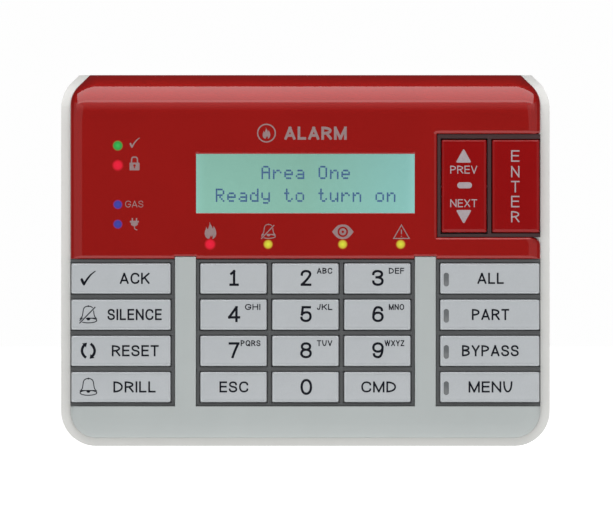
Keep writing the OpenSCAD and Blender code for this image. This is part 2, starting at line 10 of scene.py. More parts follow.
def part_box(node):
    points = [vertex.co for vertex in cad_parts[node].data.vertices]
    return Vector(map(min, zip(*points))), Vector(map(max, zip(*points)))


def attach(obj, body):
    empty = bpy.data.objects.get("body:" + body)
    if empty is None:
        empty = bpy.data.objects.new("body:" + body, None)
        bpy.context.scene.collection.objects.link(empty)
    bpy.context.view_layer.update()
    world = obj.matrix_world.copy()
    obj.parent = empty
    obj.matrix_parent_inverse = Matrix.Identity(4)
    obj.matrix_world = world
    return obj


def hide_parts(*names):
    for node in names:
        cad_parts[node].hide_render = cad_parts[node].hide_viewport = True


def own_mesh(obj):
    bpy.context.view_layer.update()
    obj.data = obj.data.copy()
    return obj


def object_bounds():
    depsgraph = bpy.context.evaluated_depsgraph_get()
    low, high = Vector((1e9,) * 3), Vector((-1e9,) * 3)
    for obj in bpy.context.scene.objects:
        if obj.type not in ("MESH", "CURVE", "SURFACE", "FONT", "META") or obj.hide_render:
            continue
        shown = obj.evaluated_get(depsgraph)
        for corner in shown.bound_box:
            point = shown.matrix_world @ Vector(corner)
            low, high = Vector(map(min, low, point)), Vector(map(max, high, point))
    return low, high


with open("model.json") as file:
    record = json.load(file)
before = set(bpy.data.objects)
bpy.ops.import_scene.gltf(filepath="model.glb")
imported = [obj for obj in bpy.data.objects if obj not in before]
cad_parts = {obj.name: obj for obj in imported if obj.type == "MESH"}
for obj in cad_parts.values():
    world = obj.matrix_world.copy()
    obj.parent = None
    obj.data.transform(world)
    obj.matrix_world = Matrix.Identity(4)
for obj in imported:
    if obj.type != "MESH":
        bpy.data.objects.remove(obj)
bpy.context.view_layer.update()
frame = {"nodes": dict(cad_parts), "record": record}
NODES = frame["nodes"]
BODY_OF = {n: b for b, members in frame["record"]["behaviour"]["bodies"].items() for n in members}
MM = 0.001

# ------ values shared with the CAD part, mm
FRONT_Y = -25.97  # the fascias, set back a little so that lamps and printing stay inside the part
KEY_Y = -25.8  # fronts of the keys
LCD_Y = -20.7  # front of the display cell
FLANGE_Y = (-20.1, -19.3)
PUSHER_Y = -19.0  # back of a key's pusher
FRAME_LAP = 1.0  # how far a key frame reaches under the fascias
GAP = 0.1  # between a fascia and what stands in its openings
FIRST_ROW_Z = -5.85
ROW_PITCH = 11.7
COLUMN_X = (-23.25, 0.0, 23.25)
STATUS_X = -60.65
ALARM_Z = 5.2
INK = 0.02  # how far printing stands above the surface it is on


def row_z(row):
    return FIRST_ROW_Z - ROW_PITCH * row


def box_mm(node):
    """A CAD node's left, right, lower and upper limits."""
    low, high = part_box(node)
    return [v / MM for v in (low.x, high.x, low.z, high.z)]


# ------ colour and material helpers
def srgb(r, g, b):
    """A linear colour from 8-bit display values."""
    return tuple(v / 12.92 if v <= 0.04045 else ((v + 0.055) / 1.055) ** 2.4
                 for v in (r / 255, g / 255, b / 255))


def scaled(color, k):
    return tuple(min(1.0, c * k) for c in color)


class Graph:
    """A material's node tree, with short calls to add nodes."""

    def __init__(self, name):
        self.material = bpy.data.materials.new(name)
        self.material.use_nodes = True
        self.tree = self.material.node_tree
        self.tree.nodes.clear()
        out = self.add("ShaderNodeOutputMaterial")
        self.shader = self.add("ShaderNodeBsdfPrincipled")
        self.link(self.shader.outputs[0], out.inputs["Surface"])
        self.coords = self.add("ShaderNodeTexCoord").outputs["Object"]

    def add(self, kind, **values):
        node = self.tree.nodes.new(kind)
        for key, value in values.items():
            setattr(node, key, value)
        return node

    def link(self, a, b):
        self.tree.links.new(a, b)

    def set(self, **values):
        names = {"color": "Base Color", "rough": "Roughness", "metal": "Metallic", "ior": "IOR",
                 "specular": "Specular IOR Level", "coat": "Coat Weight",
                 "coat_rough": "Coat Roughness", "through": "Transmission Weight",
                 "glow": "Emission Color", "glow_strength": "Emission Strength",
                 "soft": "Subsurface Weight"}
        for key, value in values.items():
            socket = self.shader.inputs[names[key]]
            socket.default_value = (*value, 1.0) if isinstance(value, tuple) else value

    def stretched(self, scale):
        mapping = self.add("ShaderNodeMapping")
        mapping.inputs["Scale"].default_value = scale
        self.link(self.coords, mapping.inputs["Vector"])
        return mapping.outputs["Vector"]

    def noise(self, scale, detail=2.0, rough=0.5, stretch=(1, 1, 1)):
        node = self.add("ShaderNodeTexNoise")
        node.inputs["Scale"].default_value = scale
        node.inputs["Detail"].default_value = detail
        node.inputs["Roughness"].default_value = rough
        self.link(self.stretched(stretch), node.inputs["Vector"])
        return node.outputs["Fac"]

    def ramp(self, value, stops):
        node = self.add("ShaderNodeValToRGB")
        while len(node.color_ramp.elements) < len(stops):
            node.color_ramp.elements.new(0.5)
        for element, (place, color) in zip(node.color_ramp.elements, stops):
            element.position = place
            element.color = (*color, 1.0)
        self.link(value, node.inputs["Fac"])
        return node.outputs["Color"]

    def spread(self, value, low, high, from_low=0.3, from_high=0.7):
        node = self.add("ShaderNodeMapRange")
        for key, number in zip(("From Min", "From Max", "To Min", "To Max"),
                               (from_low, from_high, low, high)):
            node.inputs[key].default_value = number
        self.link(value, node.inputs["Value"])
        return node.outputs["Result"]

    def bump(self, value, strength, distance):
        node = self.add("ShaderNodeBump")
        node.inputs["Strength"].default_value = strength
        node.inputs["Distance"].default_value = distance
        self.link(value, node.inputs["Height"])
        self.link(node.outputs["Normal"], self.shader.inputs["Normal"])

    def to(self, value, name):
        self.link(value, self.shader.inputs[name])


def moulded(name, color, rough, mottle=0.03, mottle_scale=90, grain_scale=3000, grain=0.12,
            rough_range=0.05, **values):
    """Moulded plastic, rubber or paint: a faint change of tone, fine surface grain, uneven gloss."""
    g = Graph(name)
    tone = g.noise(mottle_scale, 3)
    g.to(g.ramp(tone, [(0.3, scaled(color, 1 - mottle)), (0.7, scaled(color, 1 + mottle))]),
         "Base Color")
    texture = g.noise(grain_scale)
    g.bump(texture, grain, 0.00002)
    g.to(g.spread(texture, rough - rough_range, rough + rough_range), "Roughness")
    g.set(**values)
    return g.material


def sheet_metal(name, color, rough, stretch):
    """Metal with fine lines from rolling or turning."""
    g = Graph(name)
    lines = g.noise(900, 4, 0.6, stretch)
    g.to(g.ramp(lines, [(0.3, scaled(color, 0.85)), (0.7, scaled(color, 1.1))]), "Base Color")
    g.bump(lines, 0.15, 0.00002)
    g.to(g.spread(lines, rough - 0.08, rough + 0.1), "Roughness")
    g.set(metal=1.0)
    return g.material


def board_material():
    """Green solder mask over copper tracks, which show as slightly lighter straight lines."""
    g = Graph("circuit_board")
    cells = g.add("ShaderNodeTexVoronoi", distance="CHEBYCHEV")
    cells.inputs["Scale"].default_value = 110
    cells.inputs["Randomness"].default_value = 0.9
    g.link(g.stretched((1.0, 0.0, 1.0)), cells.inputs["Vector"])
    pitch = 0.06
    rings = g.add("ShaderNodeMath", operation="PINGPONG")
    rings.inputs[1].default_value = pitch
    g.link(cells.outputs["Distance"], rings.inputs[0])
    tracks = rings.outputs[0]
    g.to(g.ramp(g.spread(tracks, 0.0, 1.0, 0.0, pitch),
                [(0.22, srgb(44, 118, 70)), (0.34, srgb(22, 82, 50))]), "Base Color")
    g.bump(g.spread(tracks, 1.0, 0.0, 0.012, 0.022), 0.4, 0.00003)
    g.to(g.spread(g.noise(1200), 0.24, 0.36), "Roughness")
    g.set(coat=0.3, coat_rough=0.2)
    return g.material


def display_material():
    """Backlit display cell: green glow that is a little paler at the ends and bluer to the right."""
    g = Graph("display_cell")
    split = g.add("ShaderNodeSeparateXYZ")
    g.link(g.coords, split.inputs["Vector"])
    across = g.spread(split.outputs["X"], 0.0, 1.0, -36 * MM, 36 * MM)
    glow = g.ramp(across, [
        (0.0, srgb(150, 203, 190)), (0.05, srgb(143, 192, 177)), (0.5, srgb(139, 186, 171)),
        (0.95, srgb(142, 196, 190)), (1.0, srgb(154, 208, 203))])
    up = g.spread(split.outputs["Z"], 1.06, 0.97, 15 * MM, 34.5 * MM)
    fine = g.spread(g.noise(1500), 0.985, 1.015)
    share = g.add("ShaderNodeMath", operation="MULTIPLY")
    g.link(up, share.inputs[0])
    g.link(fine, share.inputs[1])
    mixed = g.add("ShaderNodeVectorMath", operation="SCALE")
    g.link(glow, mixed.inputs[0])
    g.link(share.outputs[0], mixed.inputs["Scale"])
    g.to(mixed.outputs[0], "Emission Color")
    g.set(color=srgb(40, 60, 55), rough=0.3, specular=0.2, glow_strength=0.97)
    return g.material


def lamp_material(name, core, edge, around, radius, soft):
    """A lamp that shines through the fascia: bright core, fading into the red over its rim."""
    g = Graph(name)
    away = g.add("ShaderNodeVectorMath", operation="LENGTH")
    g.link(g.stretched((1.0, 0.0, 1.0)), away.inputs[0])
    reach = g.spread(away.outputs["Value"], 0.0, 1.0, 0.0, radius * MM)
    black = (0.0, 0.0, 0.0)
    g.to(g.ramp(reach, [(0.0, core), (0.88 - soft, edge), (0.98, black)]), "Emission Color")
    g.to(g.ramp(reach, [(0.80 - soft, (0.004, 0.004, 0.004)), (1.0, around)]), "Base Color")
    g.set(rough=0.4, specular=0.05, glow_strength=1.0)
    return g.material


def clear_material(name, tint, rough):
    """Clear moulded plastic."""
    g = Graph(name)
    texture = g.noise(500)
    g.bump(texture, 0.03, 0.00001)
    g.to(g.ramp(texture, [(0.3, scaled(tint, 0.98)), (0.7, tint)]), "Base Color")
    g.set(rough=rough, ior=1.45, through=1.0)
    return g.material


M = {
    "housing": moulded("housing_white", srgb(210, 210, 207), 0.34, mottle=0.012, grain=0.10,
                       coat=0.10, coat_rough=0.25),
    "plate": moulded("plate_white", srgb(222, 221, 214), 0.5, mottle=0.02, grain=0.25),
    "red": moulded("fascia_red", srgb(150, 24, 21), 0.52, mottle_scale=40, grain_scale=1400,
                   grain=0.01, rough_range=0.03, metal=0.5, specular=0.0, coat=1.0,
                   coat_rough=0.02),
    "silver": moulded("fascia_silver", srgb(168, 174, 173), 0.38, mottle=0.02, mottle_scale=60,
                      grain_scale=9000, grain=0.06, coat=0.7, coat_rough=0.08),
    "frame": moulded("frame_gray", srgb(72, 74, 75), 0.42, mottle=0.05, grain=0.2),
    "nav_frame": moulded("nav_frame_gray", srgb(56, 28, 30), 0.35, mottle=0.08, grain=0.2),
    "key": moulded("key_silver", srgb(174, 178, 181), 0.28, mottle=0.015, mottle_scale=150,
                   grain_scale=6000, grain=0.03, rough_range=0.04, coat=0.6, coat_rough=0.05),
    "red_key": moulded("key_red", srgb(140, 14, 15), 0.4, mottle=0.04, mottle_scale=60,
                       grain_scale=1600, grain=0.02, rough_range=0.04, metal=0.3, specular=0.0,
                       coat=0.6, coat_rough=0.06),
    "lens": clear_material("display_window", (0.93, 0.96, 0.95), 0.02),
    "smoke": moulded("key_lens_smoke", srgb(98, 101, 103), 0.22, mottle=0.06, mottle_scale=700,
                     grain_scale=2500, grain=0.03, coat=0.5, coat_rough=0.05),
    "guide": clear_material("light_guide_clear", (0.9, 0.92, 0.93), 0.12),
    "steel": sheet_metal("bezel_steel", srgb(196, 198, 200), 0.34, (0.2, 1, 4)),
    "lcd": display_material(),
    "lcd_ink": moulded("display_ink", srgb(50, 76, 118), 0.4, mottle=0.08, mottle_scale=1500,
                       glow=srgb(56, 88, 138), glow_strength=0.7),
    "backlight": moulded("backlight_block", srgb(205, 232, 214), 0.5, mottle=0.04,
                         glow=srgb(150, 210, 185), glow_strength=0.5),
    "rubber": moulded("contact_rubber", srgb(48, 46, 50), 0.7, mottle=0.2, mottle_scale=900),
    "board": board_material(),
    "silicone": moulded("key_mat_silicone", srgb(196, 197, 194), 0.62, mottle=0.04,
                        grain_scale=2200, grain=0.3, soft=0.1),
    "led": moulded("lamp_body", srgb(228, 226, 208), 0.3, mottle=0.05, mottle_scale=900),
    "black": moulded("component_black", srgb(38, 38, 40), 0.48, mottle=0.15, mottle_scale=700,
                     grain=0.35),
    "capacitor": moulded("capacitor_sleeve", srgb(34, 40, 66), 0.3, mottle=0.12,
                         mottle_scale=300, coat=0.3, coat_rough=0.15),
    "green": moulded("terminal_green", srgb(52, 132, 82), 0.42, mottle=0.06, grain=0.3),
    "switch": moulded("switch_gray", srgb(96, 102, 106), 0.45, mottle=0.06, grain=0.3),
    "white": moulded("plunger_white", srgb(225, 224, 218), 0.4, grain=0.2),
    "dial": moulded("dial_orange", srgb(226, 142, 62), 0.42, mottle=0.06, grain=0.25),
    "zinc": sheet_metal("screw_zinc", srgb(190, 192, 190), 0.3, (1, 1, 1)),
    "key_ink": moulded("key_legend_ink", srgb(14, 15, 24), 0.4, mottle=0.1, mottle_scale=900,
                       specular=0.1, coat=0.15, coat_rough=0.06),
    "gray_ink": moulded("fascia_print_ink", srgb(140, 116, 116), 0.3, mottle=0.05,
                        mottle_scale=900, coat=0.4, coat_rough=0.06),
    "pale_ink": moulded("nav_print_ink", srgb(160, 148, 152), 0.3, mottle=0.05,
                        mottle_scale=900, coat=0.4, coat_rough=0.06),
}


# ------ mesh helpers
def new_piece(name, verts, faces, material, body, slot, hide=(), smooth_angle=35):
    """A piece on a body, from points in mm. It stands for the CAD nodes in hide."""
    mesh = bpy.data.meshes.new(name)
    mesh.from_pydata([[c * MM for c in v] for v in verts], [], faces)
    mesh.validate()
    made = bmesh.new()
    made.from_mesh(mesh)
    bmesh.ops.recalc_face_normals(made, faces=made.faces)
    made.to_mesh(mesh)
    made.free()
    mesh.shade_smooth()
    mesh.set_sharp_from_angle(angle=math.radians(smooth_angle))
    mesh.materials.append(M[material])
    piece = bpy.data.objects.new(name, mesh)
    bpy.context.scene.collection.objects.link(piece)
    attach(piece, body)
    if hide:
        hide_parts(*hide)
    return piece


def even(piece):
    """Evens a piece's shading, so that its flat faces look flat beside its rounded edges."""
    shade = piece.modifiers.new("normals", "WEIGHTED_NORMAL")
    shade.keep_sharp = True
    shade.weight = 80
    return piece


def soften(piece, width, segments):
    """Rounds a piece's sharp edges and evens its shading."""
    weld = piece.modifiers.new("weld", "WELD")
    weld.merge_threshold = 0.000001
    bevel = piece.modifiers.new("bevel", "BEVEL")
    bevel.width = width * MM
    bevel.segments = segments
    bevel.limit_method = "ANGLE"
    bevel.angle_limit = math.radians(40)
    even(piece)


def dress(material, bevel, *nodes, segments=2):
    """Gives CAD nodes their own material, and softened edges where a width is given."""
    for node in nodes:
        piece = NODES[node]
        piece.data.materials.clear()
        piece.data.materials.append(M[material])
        if bevel:
            soften(piece, bevel, segments)


def rect(x0, x1, z0, z1):
    return [(x0, z0), (x1, z0), (x1, z1), (x0, z1)]


def rounded_rect(x0, x1, z0, z1, r, steps=5):
    corners = ((x1 - r, z1 - r), (x0 + r, z1 - r), (x0 + r, z0 + r), (x1 - r, z0 + r))
    return [point for k, (cx, cz) in enumerate(corners)
            for point in ellipse(cx, cz, r, r, 90 * k, 90 * k + 90, steps)]


def loft(sections):
    """Vertices and faces of a solid through outlines of equal length, each at its own depth."""
    count = len(sections[0][0])
    verts = [(x, y, z) for outline, y in sections for x, z in outline]
    faces = [tuple(range(count)), tuple(reversed(range(len(verts) - count, len(verts))))]
    for s in range(len(sections) - 1):
        for k in range(count):
            a, b = s * count + k, s * count + (k + 1) % count
            faces.append((a, b, b + count, a + count))
    return verts, faces


def joined(parts):
    """Several solids as one list of vertices and one of faces."""
    verts, faces = [], []
    for more, sides in parts:
        faces += [tuple(i + len(verts) for i in f) for f in sides]
        verts += more
    return verts, faces


def walled(front, count):
    """Faces of a solid: its front, the same at the back, count vertices on, and walls between."""
    solid, edges = [], {}
    for ids in front:
        solid.append(ids)
        solid.append([i + count for i in reversed(ids)])
        for a, b in zip(ids, ids[1:] + ids[:1]):
            edges[(a, b)] = True
    for a, b in edges:
        if (b, a) not in edges:
            solid.append([b, a, a + count, b + count])
    return solid


def lofted(name, sections, material, body, slot, hide=()):
    return new_piece(name, *loft(sections), material, body, slot, hide, 50)


def ellipse(cx, cz, rx, rz, start=0, end=360, steps=28):
    count = steps if end - start == 360 else steps + 1
    return [(cx + rx * math.cos(math.radians(start + (end - start) * k / steps)),
             cz + rz * math.sin(math.radians(start + (end - start) * k / steps)))
            for k in range(count)]


def smooth_line(points, closed=False, steps=6):
    """Points of a line whose marked corners are rounded as far as their sides allow."""
    tension = 0.6
    line, count = [], len(points)
    for i, (x, z, rounded) in enumerate(points):
        here = Vector((x, z))
        if not rounded or (not closed and i in (0, count - 1)):
            line.append(here)
            continue
        ends = []
        for other in (points[i - 1], points[(i + 1) % count]):
            side = Vector(other[:2]) - here
            ends.append(here + side * (0.5 if other[2] else 1.0))
        a, b = ends
        c1, c2 = a.lerp(here, tension), b.lerp(here, tension)
        for k in range(steps + 1):
            t = k / steps
            u = 1 - t
            line.append(u ** 3 * a + 3 * u * u * t * c1 + 3 * u * t * t * c2 + t ** 3 * b)
    clean = [line[0]]
    for p in line[1:]:
        if (p - clean[-1]).length > 1e-4:
            clean.append(p)
    if closed and (clean[0] - clean[-1]).length < 1e-4:
        clean.pop()
    return clean


def ribbon(line, width, closed=False, reach=None):
    """Four-sided polygons along a line. reach lengthens its open ends."""
    line = [Vector(p) for p in line]
    half = width / 2
    reach = half if reach is None else reach
    if not closed:
        line[0] = line[0] + (line[0] - line[1]).normalized() * reach
        line[-1] = line[-1] + (line[-1] - line[-2]).normalized() * reach
    count = len(line)
    left, right = [], []
    for i, p in enumerate(line):
        ways = []
        if closed or i:
            ways.append((p - line[i - 1]).normalized())
        if closed or i < count - 1:
            ways.append((line[(i + 1) % count] - p).normalized())
        normals = [Vector((-w.y, w.x)) for w in ways]
        mean = sum(normals, Vector((0, 0)))
        mean = mean.normalized() if mean.length > 1e-6 else normals[0]
        side = mean * (half / max(0.35, mean.dot(normals[0])))
        left.append(tuple(p + side))
        right.append(tuple(p - side))
    last = count if closed else count - 1
    return [(left[i], right[i], right[(i + 1) % count], left[(i + 1) % count])
            for i in range(last)]


def triangles(polygon):
    points = [Vector((x, z, 0)) for x, z in polygon]
    out = []
    for tri in tessellate_polygon([points]):
        a, b, c = (polygon[i] for i in tri)
        area = (b[0] - a[0]) * (c[1] - a[1]) - (c[0] - a[0]) * (b[1] - a[1])
        if abs(area) > 1e-7:
            out.append((a, b, c) if area > 0 else (a, c, b))
    return out


def flat_union(adds, cuts=(), overs=()):
    """One flat mesh of all the added polygons, less the cuts, plus the ones laid over them."""
    points, faces, kinds = [], [], []
    for kind, group in enumerate((adds, cuts, overs)):
        for polygon in group:
            for tri in triangles(polygon):
                faces.append(list(range(len(points), len(points) + 3)))
                points.extend(Vector(p) for p in tri)
                kinds.append(kind)
    verts, _, out, _, _, origin = delaunay_2d_cdt(points, [], faces, 1, 1e-5)
    kept = []
    for face, source in zip(out, origin):
        found = {kinds[i] for i in source}
        if 2 in found or (0 in found and 1 not in found):
            kept.append(face)
    return verts, kept


def sheet(name, shape, front, back, material, body, slot, hide=()):
    """A flat shape made solid between two depths."""
    flat, faces = flat_union(*shape)
    used = sorted({i for f in faces for i in f})
    index = {v: k for k, v in enumerate(used)}
    verts = [(flat[i].x, y, flat[i].y) for y in (front, back) for i in used]
    solid = walled([[index[i] for i in f] for f in faces], len(used))
    return new_piece(name, verts, solid, material, body, slot, hide)


def printed(name, shape, y, material, body, slot):
    """A flat shape as a thin layer whose front stands INK in front of the surface at y."""
    sheet(name, shape, y - INK, y + 2 * INK, material, body, slot)


# ------ lettering: centre lines of each sign
# Each sign has its width for a height of 1, and lines through a unit box. "o" marks a rounded corner,
# "@" a closed line.
SIGNS = {
    "A": (0.92, "0,0 .5,1 1,0|.18,.28 .82,.28"),
    "B": (0.84, "0,0 0,1 .93,1o .93,.54o 0,.54|0,.54 1,.54o 1,0o 0,0"),
    "C": (0.92, "1,.76 1,1o 0,1o 0,0o 1,0o 1,.24"),
    "D": (0.9, "@0,0 0,1 1,1o 1,0o"),
    "E": (0.76, "1,1 0,1 0,0 1,0|0,.53 .93,.53"),
    "F": (0.72, "1,1 0,1 0,0|0,.52 .9,.52"),
    "G": (0.97, "1,.77 1,1o 0,1o 0,0o 1,0o 1,.46 .56,.46"),
    "H": (0.88, "0,0 0,1|1,0 1,1|0,.53 1,.53"),
    "I": (0.13, ".5,0 .5,1"),
    "J": (0.62, "1,1 1,0o 0,0o 0,.24"),
    "K": (0.88, "0,0 0,1|1,1 0,.36|.36,.6 1,0"),
    "L": (0.7, "0,1 0,0 1,0"),
    "M": (1.05, "0,0 0,1 .5,0 1,1 1,0"),
    "N": (0.9, "0,0 0,1 1,0 1,1"),
    "O": (1.0, "@0,0o 0,1o 1,1o 1,0o"),
    "P": (0.82, "0,0 0,1 1,1o 1,.46o 0,.46"),
    "Q": (1.0, "@0,0o 0,1o 1,1o 1,0o|.6,.26 1,-.04"),
    "R": (0.87, "0,0 0,1 .96,1o .96,.48o 0,.48|.5,.48 1,0"),
    "S": (0.84, ".95,.77 .95,1o .03,1o .03,.54o 1,.48o 1,0o 0,0o 0,.24"),
    "T": (0.82, "0,1 1,1|.5,1 .5,0"),
    "U": (0.87, "0,1 0,0o 1,0o 1,1"),
    "V": (0.88, "0,1 .5,0 1,1"),
    "W": (1.26, "0,1 .25,0 .5,1 .75,0 1,1"),
    "X": (0.86, "0,0 1,1|0,1 1,0"),
    "Y": (0.86, "0,1 .5,.45 1,1|.5,.45 .5,0"),
    "Z": (0.8, "0,1 1,1 0,0 1,0"),
    "0": (0.72, "@0,0o 0,1o 1,1o 1,0o"),
    "1": (0.58, ".1,.8 .5,.98|.5,1 .5,0|.0,0 1,0"),
    "2": (0.68, "0,.74 0,1o 1,1o 1,.56o 0,0|0,0 1,0"),
    "3": (0.7, "0,.78 0,1o .94,1o .94,.54o .36,.54|.36,.54 1,.54o 1,0o 0,0o 0,.23"),
    "4": (0.75, ".74,0 .74,1 0,.26 1,.26"),
    "5": (0.7, ".92,1 .14,1 .06,.48|.06,.48 .2,.63o 1,.63o 1,0o 0,0o 0,.23"),
    "6": (0.71, ".93,.8 .93,1o 0,1o 0,.3|@0,0o 0,.6o 1,.6o 1,0o"),
    "7": (0.68, "0,1 1,1 .66,.62o .33,0"),
    "8": (0.71, "@.06,.54o .06,1o .94,1o .94,.54o|@0,0o 0,.54o 1,.54o 1,0o"),
    "9": (0.71, ".07,.2 .07,0o 1,0o 1,.7|@0,.4o 0,1o 1,1o 1,.4o"),
}
LETTER_GAP = 0.17


def strokes(code):
    """The lines of a sign, each with its points and whether it is closed."""
    for part in code.split("|"):
        closed = part.startswith("@")
        points = []
        for token in part.lstrip("@").split():
            x, z = token.rstrip("o").split(",")
            points.append((float(x), float(z), token.endswith("o")))
        yield points, closed


def runs(points, closed):
    """A line parted at its sharp corners, as (points, closed) for each part."""
    sharp = [i for i, p in enumerate(points) if not p[2]]
    if closed and not sharp:
        return [(points, True)]
    if closed:
        points = points[sharp[0]:] + points[:sharp[0] + 1]
    ends = [i for i, p in enumerate(points) if not p[2] or i in (0, len(points) - 1)]
    return [(points[a:b + 1], False) for a, b in zip(ends, ends[1:])]


def clipped(polygon, box):
    """The part of a convex polygon inside a box."""
    x0, x1, z0, z1 = box
    for axis, limit, keep_above in ((0, x0, True), (0, x1, False), (1, z0, True), (1, z1, False)):
        out = []
        for a, b in zip(polygon, polygon[1:] + polygon[:1]):
            inside_a = (a[axis] >= limit) == keep_above or a[axis] == limit
            inside_b = (b[axis] >= limit) == keep_above or b[axis] == limit
            if inside_a:
                out.append(a)
            if inside_a != inside_b:
                t = (limit - a[axis]) / (b[axis] - a[axis])
                out.append((a[0] + t * (b[0] - a[0]), a[1] + t * (b[1] - a[1])))
        polygon = out
        if len(polygon) < 3:
            return []
    return polygon


def sign(letter, x0, x1, z0, z1, weight):
    """Polygons of one letter or digit fitted to a box."""
    out = []
    low = z0 - (0.12 * (z1 - z0) if letter == "Q" else 0)
    for points, closed in strokes(SIGNS[letter][1]):
        placed = [(x0 + weight / 2 + u * (x1 - x0 - weight),
                   z0 + weight / 2 + v * (z1 - z0 - weight), r) for u, v, r in points]
        for part, ring in runs(placed, closed):
            for polygon in ribbon(smooth_line(part, ring), weight, ring):
                polygon = clipped(polygon, (x0 - 0.01, x1 + 0.01, low, z1))
                if polygon:
                    out.append(polygon)
    return out


def word(text, x0, x1, z0, z1, weight):
    """Polygons of a word that fills a box."""
    shares = sum(SIGNS[c][0] for c in text if c != "I") + LETTER_GAP * (len(text) - 1)
    unit = (x1 - x0 - text.count("I") * weight) / shares
    out, x = [], x0
    for c in text:
        width = weight if c == "I" else SIGNS[c][0] * unit
        out += sign(c, x, x + width, z0, z1, weight)
        x += width + LETTER_GAP * unit
    return out


# ------ symbols: what is added, what is cut from it, and what lies over the cuts
def fit(points, box):
    """Points of a unit box placed in another box."""
    x0, x1, z0, z1 = box
    return [(x0 + p[0] * (x1 - x0), z0 + p[1] * (z1 - z0), *p[2:]) for p in points]


def line_in(code, box, weight, reach=None):
    out = []
    for points, closed in strokes(code):
        out += ribbon(smooth_line(fit(points, box), closed), weight, closed, reach=reach)
    return out


def check_mark(box):
    outline = [(0, .4), (.09, .17), (.18, .02), (.24, 0), (.3, .05), (.44, .32), (.7, .7),
               (1, .97), (.94, 1), (.62, .76), (.42, .52), (.25, .26), (.18, .42), (.13, .5),
               (.05, .49)]
    return [fit(outline, box)], []


def bell(box, weight, silenced=False):
    adds = line_in(".05,.27 .16,.36o .2,.58o .23,.84o .35,.95o .5,.97o .65,.95o .77,.84o"
                   " .8,.58o .84,.36o .95,.27|.1,.3 .9,.3", box, weight)
    rim = fit(ellipse(0.5, 0.17, 0.46, 0.135), box)
    adds += ribbon(rim, weight, True)
    adds.append(fit(ellipse(0.5, 0.3, 0.12, 0.13, 180, 360, 12), box))
    adds.append(fit(ellipse(0.5, 0.965, 0.05, 0.05, steps=12), box))
    if not silenced:
        return adds, []
    slash = fit([(0.03, 0.03), (0.86, 0.9)], box)
    return adds, ribbon(slash, weight * 2.4), ribbon(slash, weight * 1.15)


def reset_arrows(box, weight):
    """Two bent arrows, one the other turned half round."""
    bend = ".34,.08o .2,.2o .105,.38o .09,.55o .14,.72o .26,.86o"
    adds = line_in(bend, box, weight, reach=0.1) + [fit([(.1, .95), (.42, 1), (.36, .7)], box)]
    x, z = box[0] + box[1], box[2] + box[3]
    return adds + [[(x - u, z - v) for u, v in polygon] for polygon in adds], []


def padlock(box, weight):
    x0, x1, z0, z1 = box
    adds = [rounded_rect(x0, x1, z0, z0 + 0.58 * (z1 - z0), 0.25)]
    adds += line_in(".2,.5 .2,.8o .26,.97o .5,1o .74,.97o .8,.8o .8,.5", box, weight)
    middle, hole_r, slot_half = (x0 + x1) / 2, 0.42, 0.17
    cuts = [ellipse(middle, z0 + 1.55, hole_r, hole_r, steps=16),
            rect(middle - slot_half, middle + slot_half, z0 + 0.65, z0 + 1.5)]
    return adds, cuts


def plug(box, weight):
    adds = [fit(p, box) for p in (
        rect(0, 1, .64, .78), rect(.2, .34, .78, 1), rect(.66, .8, .78, 1),
        [(.12, .64), (.12, .46), (.34, .34), (.66, .34), (.88, .46), (.88, .64)])]
    adds += line_in(".5,.34 .5,.2o .56,.1o .8,.04", box, weight, reach=0.05)
    return adds, []


def flame(box):
    outline = [(.43, 1), (.5, .85), (.64, .7), (.7, .58), (.76, .68), (.74, .76), (.88, .62),
               (.98, .44), (1, .27), (.92, .12), (.78, .02), (.66, 0), (.7, .12), (.62, .22),
               (.56, .1), (.5, .2), (.44, .06), (.36, 0), (.22, .02), (.08, .12), (0, .27),
               (.02, .44), (.1, .56), (.14, .7), (.2, .6), (.28, .56), (.36, .7), (.42, .82)]
    return [fit(outline, box)], []


def eye(box):
    x0, x1, z0, z1 = box
    cx, cz, rz = (x0 + x1) / 2, (z0 + z1) / 2, (z1 - z0) / 2
    upper = smooth_line([(x0, cz, False), (cx - 2.2, z1 - 0.2, True), (cx, z1 + 0.35, True),
                         (cx + 2.2, z1 - 0.2, True), (x1, cz, False)])
    almond = [(p.x, p.y) for p in upper] + [(p.x, 2 * cz - p.y) for p in reversed(upper[1:-1])]
    ring = ribbon(ellipse(cx, cz, 0.5 * rz * 0.72, 0.5 * rz * 0.72), 0.34 * rz, True)
    return [almond], [ellipse(cx, cz, 0.78 * rz, 0.78 * rz)], ring


def warning(box, weight):
    adds = line_in("@.06,.05 .94,.05 .5,.93", box, weight)
    adds += line_in(".5,.34 .5,.62|.5,.18 .5,.21", box, weight * 1.1, reach=0.05)
    return adds, []


def arrow(x0, x1, base, tip):
    """A solid triangle with rounded corners."""
    corners = [Vector(p) for p in ((x0, base), (x1, base), ((x0 + x1) / 2, tip))]
    rounding, steps = 0.13, 5
    out = []
    for i, here in enumerate(corners):
        a = here.lerp(corners[i - 1], rounding)
        b = here.lerp(corners[(i + 1) % 3], rounding)
        for k in range(steps + 1):
            t = k / steps
            out.append(tuple((1 - t) ** 2 * a + 2 * (1 - t) * t * here + t * t * b))
    return out


